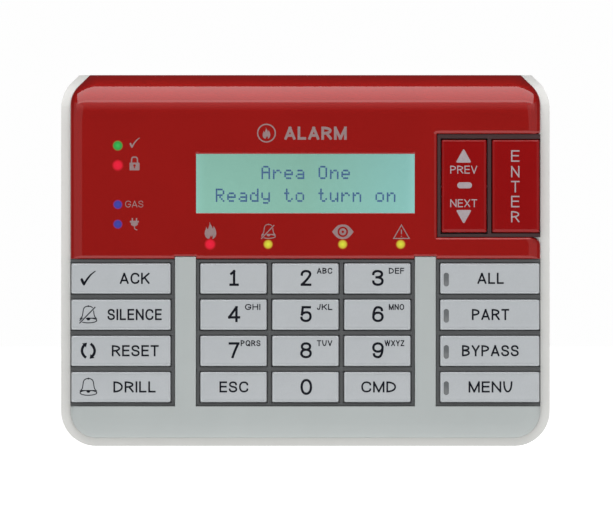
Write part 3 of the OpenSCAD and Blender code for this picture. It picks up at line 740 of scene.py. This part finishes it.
# ------ CAD nodes that stay, with their looks
dress("plate", 0.3, "wall_plate")
dress("plate", 0.15, "latch_fingers")
dress("housing", 1.0, "housing", segments=4)
dress("lens", 0.15, "display_lens")
dress("frame", 0.18, "key_frame_left", "key_frame_center", "key_frame_right")
dress("nav_frame", 0.18, "nav_frame")
dress("guide", 0, "status_light_guide", "alarm_light_guide")
dress("steel", 0.12, "lcd_bezel")
dress("lcd", 0.1, "lcd_glass")
dress("backlight", 0.15, "lcd_backlight")
dress("rubber", 0, "lcd_connectors")
dress("board", 0.1, "main_board")
dress("led", 0.12, "indicator_leds", "backlight_leds")
dress("black", 0.15, "circuit_chips")
dress("capacitor", 0.5, "capacitors", segments=3)
dress("black", 0.4, "sounder", segments=3)
dress("green", 0.2, "terminal_block")
dress("zinc", 0.12, "terminal_screws")
dress("black", 0.2, "tamper_switch")
dress("white", 0.25, "tamper_plunger")
dress("switch", 0.25, "address_switches")
dress("dial", 0.12, "address_dial_tens", "address_dial_ones")
dress("zinc", 0.2, "board_screws")


# ------ the two fascias, with rolled edges
CURVE_R, CURVE_Z, CURVE_STEPS = 16.0, 45.0, 26  # the roll over the top
SHELL = 2.5  # thickness, measured front to back
EDGE_W, EDGE_R = 4.6, 2.4  # width and depth of the rounding of the outer edges
LIP_R = 1.1  # rounding beside the upright keys and along the seam
CUT_R = 0.3  # rounding of the other openings
LOW_R = 8.6  # lower corners
TURN_R, TURN_BELOW = 8.6, 9.7  # upper corners, which turn 45 degrees, and how far down they start
TURN_SET = 0.05  # how far in the straight run above that turn is set
LOW_END_R, HIGH_END_R = 2.6, 0.9  # side corners below and above the upright keys
EDGE_STEPS = (0.0, 0.02, 0.07, 0.15, 0.26, 0.4, 0.57, 0.77, 1.0)
GUARD = 0.5  # a flat line this far past each rounding keeps the shading clean
PLAIN_X = (-60.0, -48.0, -20.0, 0.0, 20.0, 60.0)  # grid lines over the plain stretches
PLAIN_Z = (12.0, 28.0, 42.0)
PILLAR_X = (box_mm("key_frame_center")[1] - FRAME_LAP, box_mm("key_frame_right")[0] + FRAME_LAP)


def roll(distance, width, depth=None):
    """How far back a rounded edge lies at a distance from the edge."""
    if distance >= width:
        return 0.0
    return (depth or width) * (1 - math.sqrt(max(0.0, 1 - (1 - distance / width) ** 2)))


def to_box(x, z, box):
    """Distance of a point from a box, 0 inside it."""
    x0, x1, z0, z1 = box
    return math.hypot(max(x0 - x, 0, x - x1), max(z0 - z, 0, z - z1))


def turned_in(half, rise):
    """Half width of the upper fascia at a height above the start of its upper corners."""
    swing = TURN_R * math.sin(math.radians(45))
    if rise <= 0:
        return half
    if rise <= swing:
        return half - TURN_R + math.sqrt(TURN_R ** 2 - rise ** 2)
    return half - TURN_R + swing - TURN_SET - (rise - swing)


def end_turn(z, nav):
    """How far the right side turns in beside the opening of the upright keys."""
    near, r = (nav[2] - z, LOW_END_R) if z <= nav[2] else (z - nav[3], HIGH_END_R)
    return r - math.sqrt(r ** 2 - (r - near) ** 2) if 0 <= near < r else 0.0


def beside(at, way, width):
    """Grid lines over a rounding that starts at a line, and one past it."""
    return {at + way * width * k for k in EDGE_STEPS} | {at + way * (width + GUARD)}


def red_cover():
    """Upper fascia: a shell whose front rolls back at its sides, its seam and round its openings."""
    _, half, seam, top = box_mm("red_fascia")
    lens, nav = box_mm("display_lens"), box_mm("nav_frame")
    window = (lens[0] - GAP, lens[1] + GAP, lens[2] - GAP, lens[3] + GAP)
    lap, past = FRAME_LAP - GAP, 1.0
    nav = (nav[0] + lap, half + past, nav[2] + lap, nav[3] - lap)
    notch_top = box_mm("lower_fascia")[3] + GAP
    notches = [(a, b, seam - past, notch_top) for a, b in (PILLAR_X, (-PILLAR_X[1], -PILLAR_X[0]))]

    rows = beside(seam, 1, LIP_R) | beside(notch_top, 1, CUT_R) | {*PLAIN_Z, CURVE_Z}
    columns = {*PLAIN_X} | beside(nav[0], -1, LIP_R)
    for side, way in ((0, -1), (1, 1)):
        rows |= beside(window[2 + side], way, CUT_R)
        columns |= beside(window[side], way, CUT_R)
        rows |= beside(nav[2 + side], way, LIP_R) | beside(nav[2 + side], way, LOW_END_R)
        for notch in notches:
            columns |= beside(notch[side], way, CUT_R)
    line = [(FRONT_Y, z) for z in sorted(rows)]
    line += ellipse(FRONT_Y + CURVE_R, CURVE_Z, CURVE_R, CURVE_R, 180, 90, CURVE_STEPS)[1:]
    top_y = FRONT_Y + CURVE_R - math.sqrt(CURVE_R ** 2 - (top - CURVE_Z) ** 2)
    line = [(y, z) for y, z in line if z < top] + [(top_y, top)]
    edge = [EDGE_W * k for k in EDGE_STEPS] + [EDGE_W + GUARD]

    def across(z):
        """Places across the fascia at a height, each with its distance from the nearer side."""
        reach = turned_in(half, z - (top - TURN_BELOW))
        right = reach - end_turn(z, nav)
        return ([(d - reach, d) for d in edge] + [(x, EDGE_W) for x in sorted(columns)]
                + [(right - d, d) for d in reversed(edge)])

    verts = []
    for y, z in line:
        for x, side in across(z):
            cuts = [roll(to_box(x, z, box), CUT_R) for box in [window] + notches]
            back = max(roll(side, EDGE_W, EDGE_R), roll(z - seam, LIP_R),
                       roll(to_box(x, z, nav), LIP_R), *cuts)
            verts.append((x, y + back, z))
    count = len(verts)
    for y, z in line:
        verts += [(x, y + SHELL, z) for x, _ in across(z)]
    front = []
    width = count // len(line)
    for corner in (r * width + c for r in range(len(line) - 1) for c in range(width - 1)):
        quad = [corner, corner + 1, corner + 1 + width, corner + width]
        x, z = (sum(verts[i][axis] for i in quad) / 4 for axis in (0, 2))
        if not any(a < x < b and d < z < e for a, b, d, e in [window, nav] + notches):
            front.append(quad)
    return new_piece("cover_red_fascia", verts, walled(front, count), "red", "front_case",
                     "red_fascia", ["red_fascia"], 40)


def silver_cover():
    """Lower fascia: a band with rounded lower corners, and two pillars flush with it."""
    x0, x1, z0, z1 = box_mm("lower_fascia")
    band_top = box_mm("key_frame_center")[2] + FRAME_LAP - GAP
    corner_steps, pillar_r = 12, 0.5
    band, pillars = [], [[], []]
    for k in EDGE_STEPS:
        d = EDGE_W * k
        arc = LOW_R - d
        outline = [(x1 - d, band_top), (x0 + d, band_top)]
        for cx, start in ((x0 + LOW_R, 180), (x1 - LOW_R, 270)):
            outline += ellipse(cx, z0 + LOW_R, arc, arc, start, start + 90, corner_steps)
        band.append((outline, FRONT_Y + roll(d, EDGE_W, EDGE_R)))
    inner, outer = PILLAR_X[0] + GAP, PILLAR_X[1] - GAP
    for layers, (a, b) in zip(pillars, ((-outer, -inner), (inner, outer))):
        for k in EDGE_STEPS:
            d = pillar_r * k
            layers.append((rect(a + d, b - d, band_top, z1 - d), FRONT_Y + roll(d, pillar_r)))
    solids = joined([loft([(layers[0][0], FRONT_Y + SHELL)] + layers)
                     for layers in [band] + pillars])
    return new_piece("cover_lower_fascia", *solids, "silver", "front_case", "grey_fascia",
                     ["lower_fascia"], 40)


even(red_cover())
even(silver_cover())

# ------ key caps
FLANGE_W, FLANGE_R = 0.6, 0.3
CAP_R, CAP_SHRINK, CAP_LEAST_R = 0.5, 0.4, 0.12  # corners of a cap, and how they shrink with inset
CAP_STEPS = ((0.0, 0.62), (0.03, 0.38), (0.10, 0.2), (0.22, 0.08), (0.38, 0.02), (0.52, 0.0),
             (0.70, 0.0), (0.76, 0.05), (0.84, 0.05), (0.90, 0.0))  # inset and depth of its outlines
RED_STEPS = ((0.0, 0.8), (0.04, 0.55), (0.16, 0.32), (0.38, 0.14), (0.7, 0.04), (1.1, 0.0))
PUSHER_R = 2.6
PIN_LENGTH, PIN_R, PIN_Y = 0.8, 0.7, -22.6
ROCKER_PUSH = 10.0  # distance of the rocker's pushers from its pins
LEFT_KEYS = ("ack", "silence", "reset", "drill")
RIGHT_KEYS = ("all", "part", "bypass", "menu")
SMALL_KEYS = ["key_" + name for name in (*"123456789", "esc", "0", "cmd", *LEFT_KEYS, *RIGHT_KEYS)]


def cap_sections(x0, x1, z0, z1, steps):
    """Outlines of a key's cap, from its flange to its front."""
    sections = [(rounded_rect(x0, x1, z0, z1, CAP_R), FLANGE_Y[0])]
    for i, depth in steps:
        r = max(CAP_R - i * CAP_SHRINK, CAP_LEAST_R)
        sections.append((rounded_rect(x0 + i, x1 - i, z0 + i, z1 - i, r), KEY_Y + depth))
    return sections


def key_cap(node, material, slot, steps):
    """A key: a pusher that meets its dome, a flange that stops it, and its cap."""
    x0, x1, z0, z1 = box_mm(node)
    middle_x, middle_z = (x0 + x1) / 2, (z0 + z1) / 2
    pusher = rounded_rect(middle_x - PUSHER_R, middle_x + PUSHER_R, middle_z - PUSHER_R,
                          middle_z + PUSHER_R, PUSHER_R - 0.05)
    flange = rounded_rect(x0, x1, z0, z1, FLANGE_R)
    sections = [(pusher, PUSHER_Y), (pusher, FLANGE_Y[1]), (flange, FLANGE_Y[1]),
                (flange, FLANGE_Y[0])]
    sections += cap_sections(x0 + FLANGE_W, x1 - FLANGE_W, z0 + FLANGE_W, z1 - FLANGE_W, steps)
    even(lofted("cap_" + node, sections, material, BODY_OF[node], slot, [node]))


def rocker():
    """PREV/NEXT rocker: one cap with a pin at each side and two pushers behind it."""
    x0, x1, z0, z1 = box_mm("rocker_prev_next")
    middle_x, middle_z, bite = (x0 + x1) / 2, (z0 + z1) / 2, 0.2
    parts = [loft(cap_sections(x0 + PIN_LENGTH, x1 - PIN_LENGTH, z0, z1, RED_STEPS))]
    for z in (middle_z - ROCKER_PUSH, middle_z + ROCKER_PUSH):
        ring = ellipse(middle_x, z, PUSHER_R, PUSHER_R)
        parts.append(loft([(ring, PUSHER_Y), (ring, FLANGE_Y[0] - bite)]))
    for a, b in ((x0, x0 + PIN_LENGTH + bite), (x1 - PIN_LENGTH - bite, x1)):
        ring = ellipse(PIN_Y, middle_z, PIN_R, PIN_R)
        turned, faces = loft([(ring, a), (ring, b)])
        parts.append(([(y, x, z) for x, y, z in turned], faces))
    even(new_piece("cap_rocker", *joined(parts), "red_key", "rocker", "red_key",
                   ["rocker_prev_next"], 50))


def key_window(node):
    """Smoked lamp window let into a right-hand key."""
    x0, x1, z0, z1 = box_mm(node)
    r = (x1 - x0) / 2 - 0.01
    sections = [(rounded_rect(x0 + i, x1 - i, z0 + i, z1 - i, r - i, 8), KEY_Y + depth)
                for i, depth in ((0, 1.2), (0, 0.01), (0.06, -0.03), (0.16, -0.05))]
    lofted("window_" + node, sections, "smoke", BODY_OF[node], "key_lens", [node])


for key_node in SMALL_KEYS:
    key_cap(key_node, "key", "key_plastic", CAP_STEPS)
key_cap("key_enter", "red_key", "red_key", RED_STEPS)
rocker()
for name in RIGHT_KEYS:
    key_window("lens_" + name)

# ------ key legends
WORD_H, WORD_WEIGHT = 3.62, 0.57
DIGIT_H, DIGIT_WEIGHT = 5.2, 0.78
LAST_ROW_H = 3.58  # of ESC and CMD
SMALL_H, SMALL_WEIGHT, SMALL_UP = 1.93, 0.34, 2.49
WORD_UP, DIGIT_SHIFT = 0.05, 0.2  # how far words and digits stand off the middle of their keys
LEFT_WORDS_X = ((-60.0, -50.35), (-63.97, -46.44), (-62.58, -47.41), (-62.06, -48.41))
RIGHT_WORDS_X = ((55.59, 64.13), (53.81, 65.88), (50.61, 68.98), (52.75, 66.94))
BELL_BOX = (-73.1, -67.2, -2.9, 2.9)
ICONS = ((check_mark, (-72.75, -67.7, -2.35, 2.45), ()), (bell, BELL_BOX, (0.3, True)),
         (reset_arrows, (-72.7, -67.65, -2.62, 2.62), (0.85,)), (bell, BELL_BOX, (0.3,)))
DIGITS = (("1", 3.07, ""), ("2", 3.5, "ABC"), ("3", 3.75, "DEF"), ("4", 3.97, "GHI"),
          ("5", 3.7, "JKL"), ("6", 3.75, "MNO"), ("7", 3.55, "PQRS"), ("8", 3.8, "TUV"),
          ("9", 3.75, "WXYZ"))
SMALL_X = {3: (3.72, 8.7), 4: (2.33, 8.74)}  # place of three and of four small letters


def legend(name, body, adds, cuts=(), overs=(), material="key_ink"):
    printed("legend_" + name, (adds, cuts, overs), KEY_Y, material, body, "key_plastic")


def centered(text, x0, x1, z, height, weight):
    return word(text, x0, x1, z - height / 2, z + height / 2, weight)


for row in range(4):
    middle = row_z(row) + WORD_UP
    for name, ends in ((LEFT_KEYS[row], LEFT_WORDS_X[row]), (RIGHT_KEYS[row], RIGHT_WORDS_X[row])):
        legend(name, "key_" + name, centered(name.upper(), *ends, middle, WORD_H, WORD_WEIGHT))
    draw, (x0, x1, below, above), values = ICONS[row]
    icon = draw((x0, x1, middle + below, middle + above), *values)
    legend("icon_" + str(row), "key_" + LEFT_KEYS[row], *icon)

for place, (digit, width, small) in enumerate(DIGITS):
    column, row = COLUMN_X[place % 3], row_z(place // 3)
    x, z = column + DIGIT_SHIFT, row + DIGIT_SHIFT
    legend("digit_" + digit, "key_" + digit,
           sign(digit, x - width / 2, x + width / 2, z - DIGIT_H / 2, z + DIGIT_H / 2, DIGIT_WEIGHT))
    if small:
        x0, x1 = SMALL_X[len(small)]
        letters = centered(small, column + x0, column + x1, row + SMALL_UP, SMALL_H, SMALL_WEIGHT)
        legend("letters_" + digit, "key_" + digit, letters)
middle = row_z(3) + WORD_UP
legend("digit_0", "key_0",
       sign("0", -1.6, 2.2, middle - DIGIT_H / 2, middle + DIGIT_H / 2, DIGIT_WEIGHT))
legend("esc", "key_esc", centered("ESC", -27.78, -18.47, middle, LAST_ROW_H, WORD_WEIGHT))
legend("cmd", "key_cmd", centered("CMD", 18.05, 29.33, middle, LAST_ROW_H, WORD_WEIGHT))

# ------ soft mats, with a dome under each key
SHEET_T = 1.4  # thickness of a mat's sheet
DOME_TOP_R, DOME_FOOT_R, DOME_CUT = 2.8, 4.2, 0.15
LAMP_X = (-68.0, -51.0, -11.625, 11.625, 51.0, 68.0)
LAMP_HALF_W, LAMP_HALF_H = 2.0, 1.4
SCREW_X, SCREW_Z, SCREW_R = 38.8, -23.0, 3.0


def mat_sheet(node, holes):
    """The flat part of a mat, with holes for lamps and screws."""
    outline = rounded_rect(*box_mm(node), 2.0)
    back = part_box(node)[1].y / MM
    sheet("sheet_" + node, ([outline], holes), back - SHEET_T, back, "silicone", "front_case",
          "silicone", [node])


def dome(mat, key, at=0.0):
    """One dome of a mat, under a key."""
    foot_y, top_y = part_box(mat)[1].y / MM - SHEET_T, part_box(mat)[0].y / MM
    x0, x1, z0, z1 = box_mm(key)
    x, z = (x0 + x1) / 2, (z0 + z1) / 2 + at
    sections = [(ellipse(x, z, r, r), y) for r, y in (
        (DOME_FOOT_R, foot_y), (DOME_TOP_R, top_y + DOME_CUT), (DOME_TOP_R - DOME_CUT, top_y))]
    name = "dome_" + key + {0: "", 1: "_upper", -1: "_lower"}[(at > 0) - (at < 0)]
    piece = lofted(name, sections, "silicone", "front_case", "silicone", [mat])
    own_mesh(piece)


mat_holes = [rect(x - LAMP_HALF_W, x + LAMP_HALF_W, row_z(r) - LAMP_HALF_H, row_z(r) + LAMP_HALF_H)
             for x in LAMP_X for r in range(4)]
mat_holes += [ellipse(x, SCREW_Z, SCREW_R, SCREW_R) for x in (-SCREW_X, SCREW_X)]
mat_sheet("key_mat", mat_holes)
mat_sheet("nav_key_mat", ())
for key_node in SMALL_KEYS:
    dome("key_mat", key_node)
dome("nav_key_mat", "key_enter")
for at in (-ROCKER_PUSH, ROCKER_PUSH):
    dome("nav_key_mat", "rocker_prev_next", at)

# ------ legends of the red keys
NAV_WORD_WEIGHT, ENTER_WEIGHT = 0.32, 0.42


def nav_legend(name, adds, body="rocker"):
    legend(name, body, adds, material="pale_ink")


nav_legend("up", [arrow(48.6, 53.7, 31.6, 36.2)])
nav_legend("down", [arrow(48.65, 53.75, 16.3, 11.75)])
nav_legend("middle", [rounded_rect(49.09, 53.84, 23.29, 25.26, 0.95)])
for text, z0, z1 in (("PREV", 28.05, 30.62), ("NEXT", 17.2, 19.77)):
    nav_legend(text.lower(), word(text, 46.83, 55.53, z0, z1, NAV_WORD_WEIGHT))
enter_letters = []
for letter, z0, z1 in (("E", 31.9, 35.6), ("N", 26.87, 30.54), ("T", 21.97, 25.71),
                       ("E", 17.17, 20.87), ("R", 12.3, 15.94)):
    enter_letters += sign(letter, 66.5, 69.2, z0, z1, ENTER_WEIGHT)
nav_legend("enter", enter_letters, "key_enter")


# ------ printing and lamps on the red fascia
def fascia_print(name, adds, cuts=(), overs=()):
    printed("print_" + name, (adds, cuts, overs), FRONT_Y, "gray_ink", "front_case", "red_fascia")


fascia_print("check", *check_mark((-56.85, -53.49, 36.36, 39.68)))
fascia_print("padlock", *padlock((-56.85, -53.62, 29.12, 33.44), 0.42))
fascia_print("gas", word("GAS", -58.25, -52.4, 17.13, 19.29, 0.22))
fascia_print("plug", *plug((-56.73, -53.81, 9.69, 13.69), 0.3))
fascia_print("flame", *flame((-32.57, -28.78, 6.98, 12.53)))
fascia_print("silenced", *bell((-14.33, -9.51, 6.95, 11.78), 0.28, True))
fascia_print("eye", *eye((8.63, 15.56, 7.08, 11.4)))
fascia_print("warning", *warning((28.17, 33.93, 6.85, 11.78), 0.32))
EMBLEM = (-12.58, 41.15)
emblem_ring = ribbon(ellipse(*EMBLEM, 2.85, 2.85, steps=40), 0.42, True)
emblem_flame = flame((EMBLEM[0] - 1.25, EMBLEM[0] + 1.25, EMBLEM[1] - 1.8, EMBLEM[1] + 1.9))[0]
fascia_print("emblem", emblem_ring + emblem_flame)
fascia_print("alarm", word("ALARM", -6.79, 13.36, 39.0, 43.25, 0.86))

LAMP_LOOKS = {  # core, edge, radius and softness of the rim
    "green": (srgb(60, 186, 88), srgb(46, 146, 66), 1.75, 0.1),
    "red": (srgb(236, 30, 62), srgb(222, 28, 54), 1.95, 0.3),
    "blue": (srgb(66, 70, 162), srgb(62, 60, 148), 1.6, 0.12),
    "yellow": (srgb(222, 226, 62), srgb(198, 190, 56), 1.65, 0.25),
}
LAMPS = (("green", STATUS_X, 37.1), ("red_status", STATUS_X, 30.75), ("blue_gas", STATUS_X, 18.05),
         ("blue_mains", STATUS_X, 11.7), ("red_alarm", -30.8, ALARM_Z),
         ("yellow_silenced", -12.05, ALARM_Z), ("yellow_watch", 12.05, ALARM_Z),
         ("yellow_fault", 30.8, ALARM_Z))


def lamp(name, x, z):
    """A thin domed disc on the fascia, whose colour fades into the red at its rim."""
    core, edge, radius, soft = LAMP_LOOKS[name.split("_")[0]]
    name = "lamp_" + name
    M[name] = lamp_material(name, core, edge, srgb(150, 20, 18), radius, soft)
    verts, faces = loft([(ellipse(0, 0, radius * share, radius * share, steps=32), y)
                         for share, y in ((1.0, 0.05), (1.0, -0.005), (0.94, -0.02), (0.5, -0.03))])
    piece = new_piece(name, verts, faces, name, "front_case", "red_fascia")
    piece.location = (x * MM, FRONT_Y * MM, z * MM)


for values in LAMPS:
    lamp(*values)

# ------ dots of the display's text
DOT_ROWS = {  # lit dots of each row from the top, 16 for the leftmost
    "A": (14, 17, 17, 31, 17, 17, 17), "r": (0, 0, 22, 25, 16, 16, 16),
    "e": (0, 0, 14, 17, 31, 16, 14), "a": (0, 0, 14, 1, 15, 17, 15),
    "O": (14, 17, 17, 17, 17, 17, 14), "n": (0, 0, 22, 25, 17, 17, 17),
    "R": (30, 17, 17, 30, 20, 18, 17), "d": (1, 1, 13, 19, 17, 17, 15),
    "y": (0, 0, 17, 17, 17, 15, 1, 14), "t": (8, 8, 28, 8, 8, 9, 6),
    "o": (0, 0, 14, 17, 17, 17, 14), "u": (0, 0, 17, 17, 17, 19, 13),
}
DOT_X, DOT_Z, CELL_X = 0.5627, 0.6188, 3.69
DOT_SHARE = 0.94


def display_line(text, x, z):
    """Squares of a line of text, from the upper left corner of its first letter."""
    squares = []
    for i, letter in enumerate(text):
        for r, bits in enumerate(DOT_ROWS.get(letter, ())):
            for c in range(5):
                if bits >> (4 - c) & 1:
                    x0, z1 = x + CELL_X * i + DOT_X * c, z - DOT_Z * r
                    x1, z0 = x0 + DOT_X * DOT_SHARE, z1 - DOT_Z * DOT_SHARE
                    squares.append(rect(x0, x1, z0, z1))
    return squares


dots = display_line("Area One", -14.2, 30.6) + display_line("Ready to turn on", -29.0, 23.23)
printed("display_text", (dots,), LCD_Y, "lcd_ink", "front_case", "lcd_glass")


# ------ floor, light and camera
def area_light(name, place, target, width, height, power, fade=None):
    """A soft box. fade gives its brightness at the lower and at the upper edge."""
    data = bpy.data.lights.new(name, "AREA")
    data.shape = "RECTANGLE"
    data.size, data.size_y = width, height
    data.energy = power
    light = bpy.data.objects.new(name, data)
    bpy.context.scene.collection.objects.link(light)
    light.location = place
    light.rotation_euler = (Vector(target) - Vector(place)).to_track_quat("-Z", "Y").to_euler()
    light.visible_camera = False
    if fade is not None:
        data.use_nodes = True
        tree = data.node_tree
        place_on = tree.nodes.new("ShaderNodeNewGeometry")
        split = tree.nodes.new("ShaderNodeSeparateXYZ")
        share = tree.nodes.new("ShaderNodeMapRange")
        share.inputs["To Min"].default_value = fade[0]
        share.inputs["To Max"].default_value = fade[1]
        tree.links.new(place_on.outputs["Parametric"], split.inputs[0])
        tree.links.new(split.outputs["Y"], share.inputs["Value"])
        tree.links.new(share.outputs["Result"], tree.nodes["Emission"].inputs["Strength"])


def make_floor():
    """A pale floor, whose own glow hides its far edge against the world."""
    g = Graph("floor_white")
    tone = g.noise(6, 3)
    g.to(g.ramp(tone, [(0.3, (0.34, 0.34, 0.34)), (0.7, (0.38, 0.38, 0.38))]), "Base Color")
    away = g.add("ShaderNodeVectorMath", operation="LENGTH")
    g.link(g.coords, away.inputs[0])
    g.to(g.spread(away.outputs["Value"], 0.93, 1.0, 0.25, 0.8), "Emission Strength")
    g.set(rough=0.8, specular=0.1, glow=(1.0, 1.0, 1.0))
    mesh = bpy.data.meshes.new("floor")
    steps, half_width = 12, 6.0
    made = bmesh.new()
    bmesh.ops.create_grid(made, x_segments=steps, y_segments=steps, size=half_width)
    made.to_mesh(mesh)
    made.free()
    mesh.materials.append(g.material)
    floor = bpy.data.objects.new("floor", mesh)
    bpy.context.scene.collection.objects.link(floor)
    floor.location = (0, 0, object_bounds()[0].z - 0.1 * MM)


def make_world():
    """White to the camera, dim to reflections and in between for soft light."""
    world = bpy.data.worlds.new("studio")
    bpy.context.scene.world = world
    world.use_nodes = True
    tree = world.node_tree
    back = tree.nodes["Background"]
    path = tree.nodes.new("ShaderNodeLightPath")
    value = (0.05, 0.05, 0.052, 1)
    for ray, seen in (("Is Diffuse Ray", (0.21, 0.21, 0.212, 1)),
                      ("Is Camera Ray", (0.99, 0.99, 0.99, 1))):
        mix = tree.nodes.new("ShaderNodeMix")
        mix.data_type = "RGBA"
        sockets = [s for s in mix.inputs if s.type == "RGBA"]
        if isinstance(value, tuple):
            sockets[0].default_value = value
        else:
            tree.links.new(value, sockets[0])
        sockets[1].default_value = seen
        tree.links.new(path.outputs[ray], mix.inputs["Factor"])
        value = [s for s in mix.outputs if s.type == "RGBA"][0]
    tree.links.new(value, back.inputs["Color"])
    back.inputs["Strength"].default_value = 1.0


make_floor()
make_world()
area_light("top_box", (0, -0.32, 0.74), (0, -0.12, 0.05), 1.0, 0.62, 6.7, fade=(0.62, 1.0))
area_light("front_box", (0, -0.77, 0.64), (0, 0, 0), 1.6, 0.42, 1.7, fade=(0.0, 1.0))
area_light("left_box", (-0.8, -0.95, 0.2), (0, 0, 0), 1.2, 1.6, 2.3)
area_light("right_box", (0.8, -0.95, 0.2), (0, 0, 0), 1.2, 1.6, 2.3)

LENS, SENSOR = 1000.0, 36.0
VIEW_X, VIEW_Z = 0.36 * MM, 1.26 * MM
VIEW_WIDTH = 198.25 * MM  # width seen at the front plane of the housing rim
RIM_Y = -23.2 * MM
camera_data = bpy.data.cameras.new("camera")
camera_data.lens = LENS
camera_data.sensor_width = SENSOR
camera = bpy.data.objects.new("camera", camera_data)
bpy.context.scene.collection.objects.link(camera)
camera.location = (VIEW_X, RIM_Y - VIEW_WIDTH * LENS / SENSOR, VIEW_Z)
camera.rotation_euler = (math.radians(90), 0, 0)
bpy.context.scene.camera = camera
bpy.context.scene.view_settings.view_transform = "Standard"
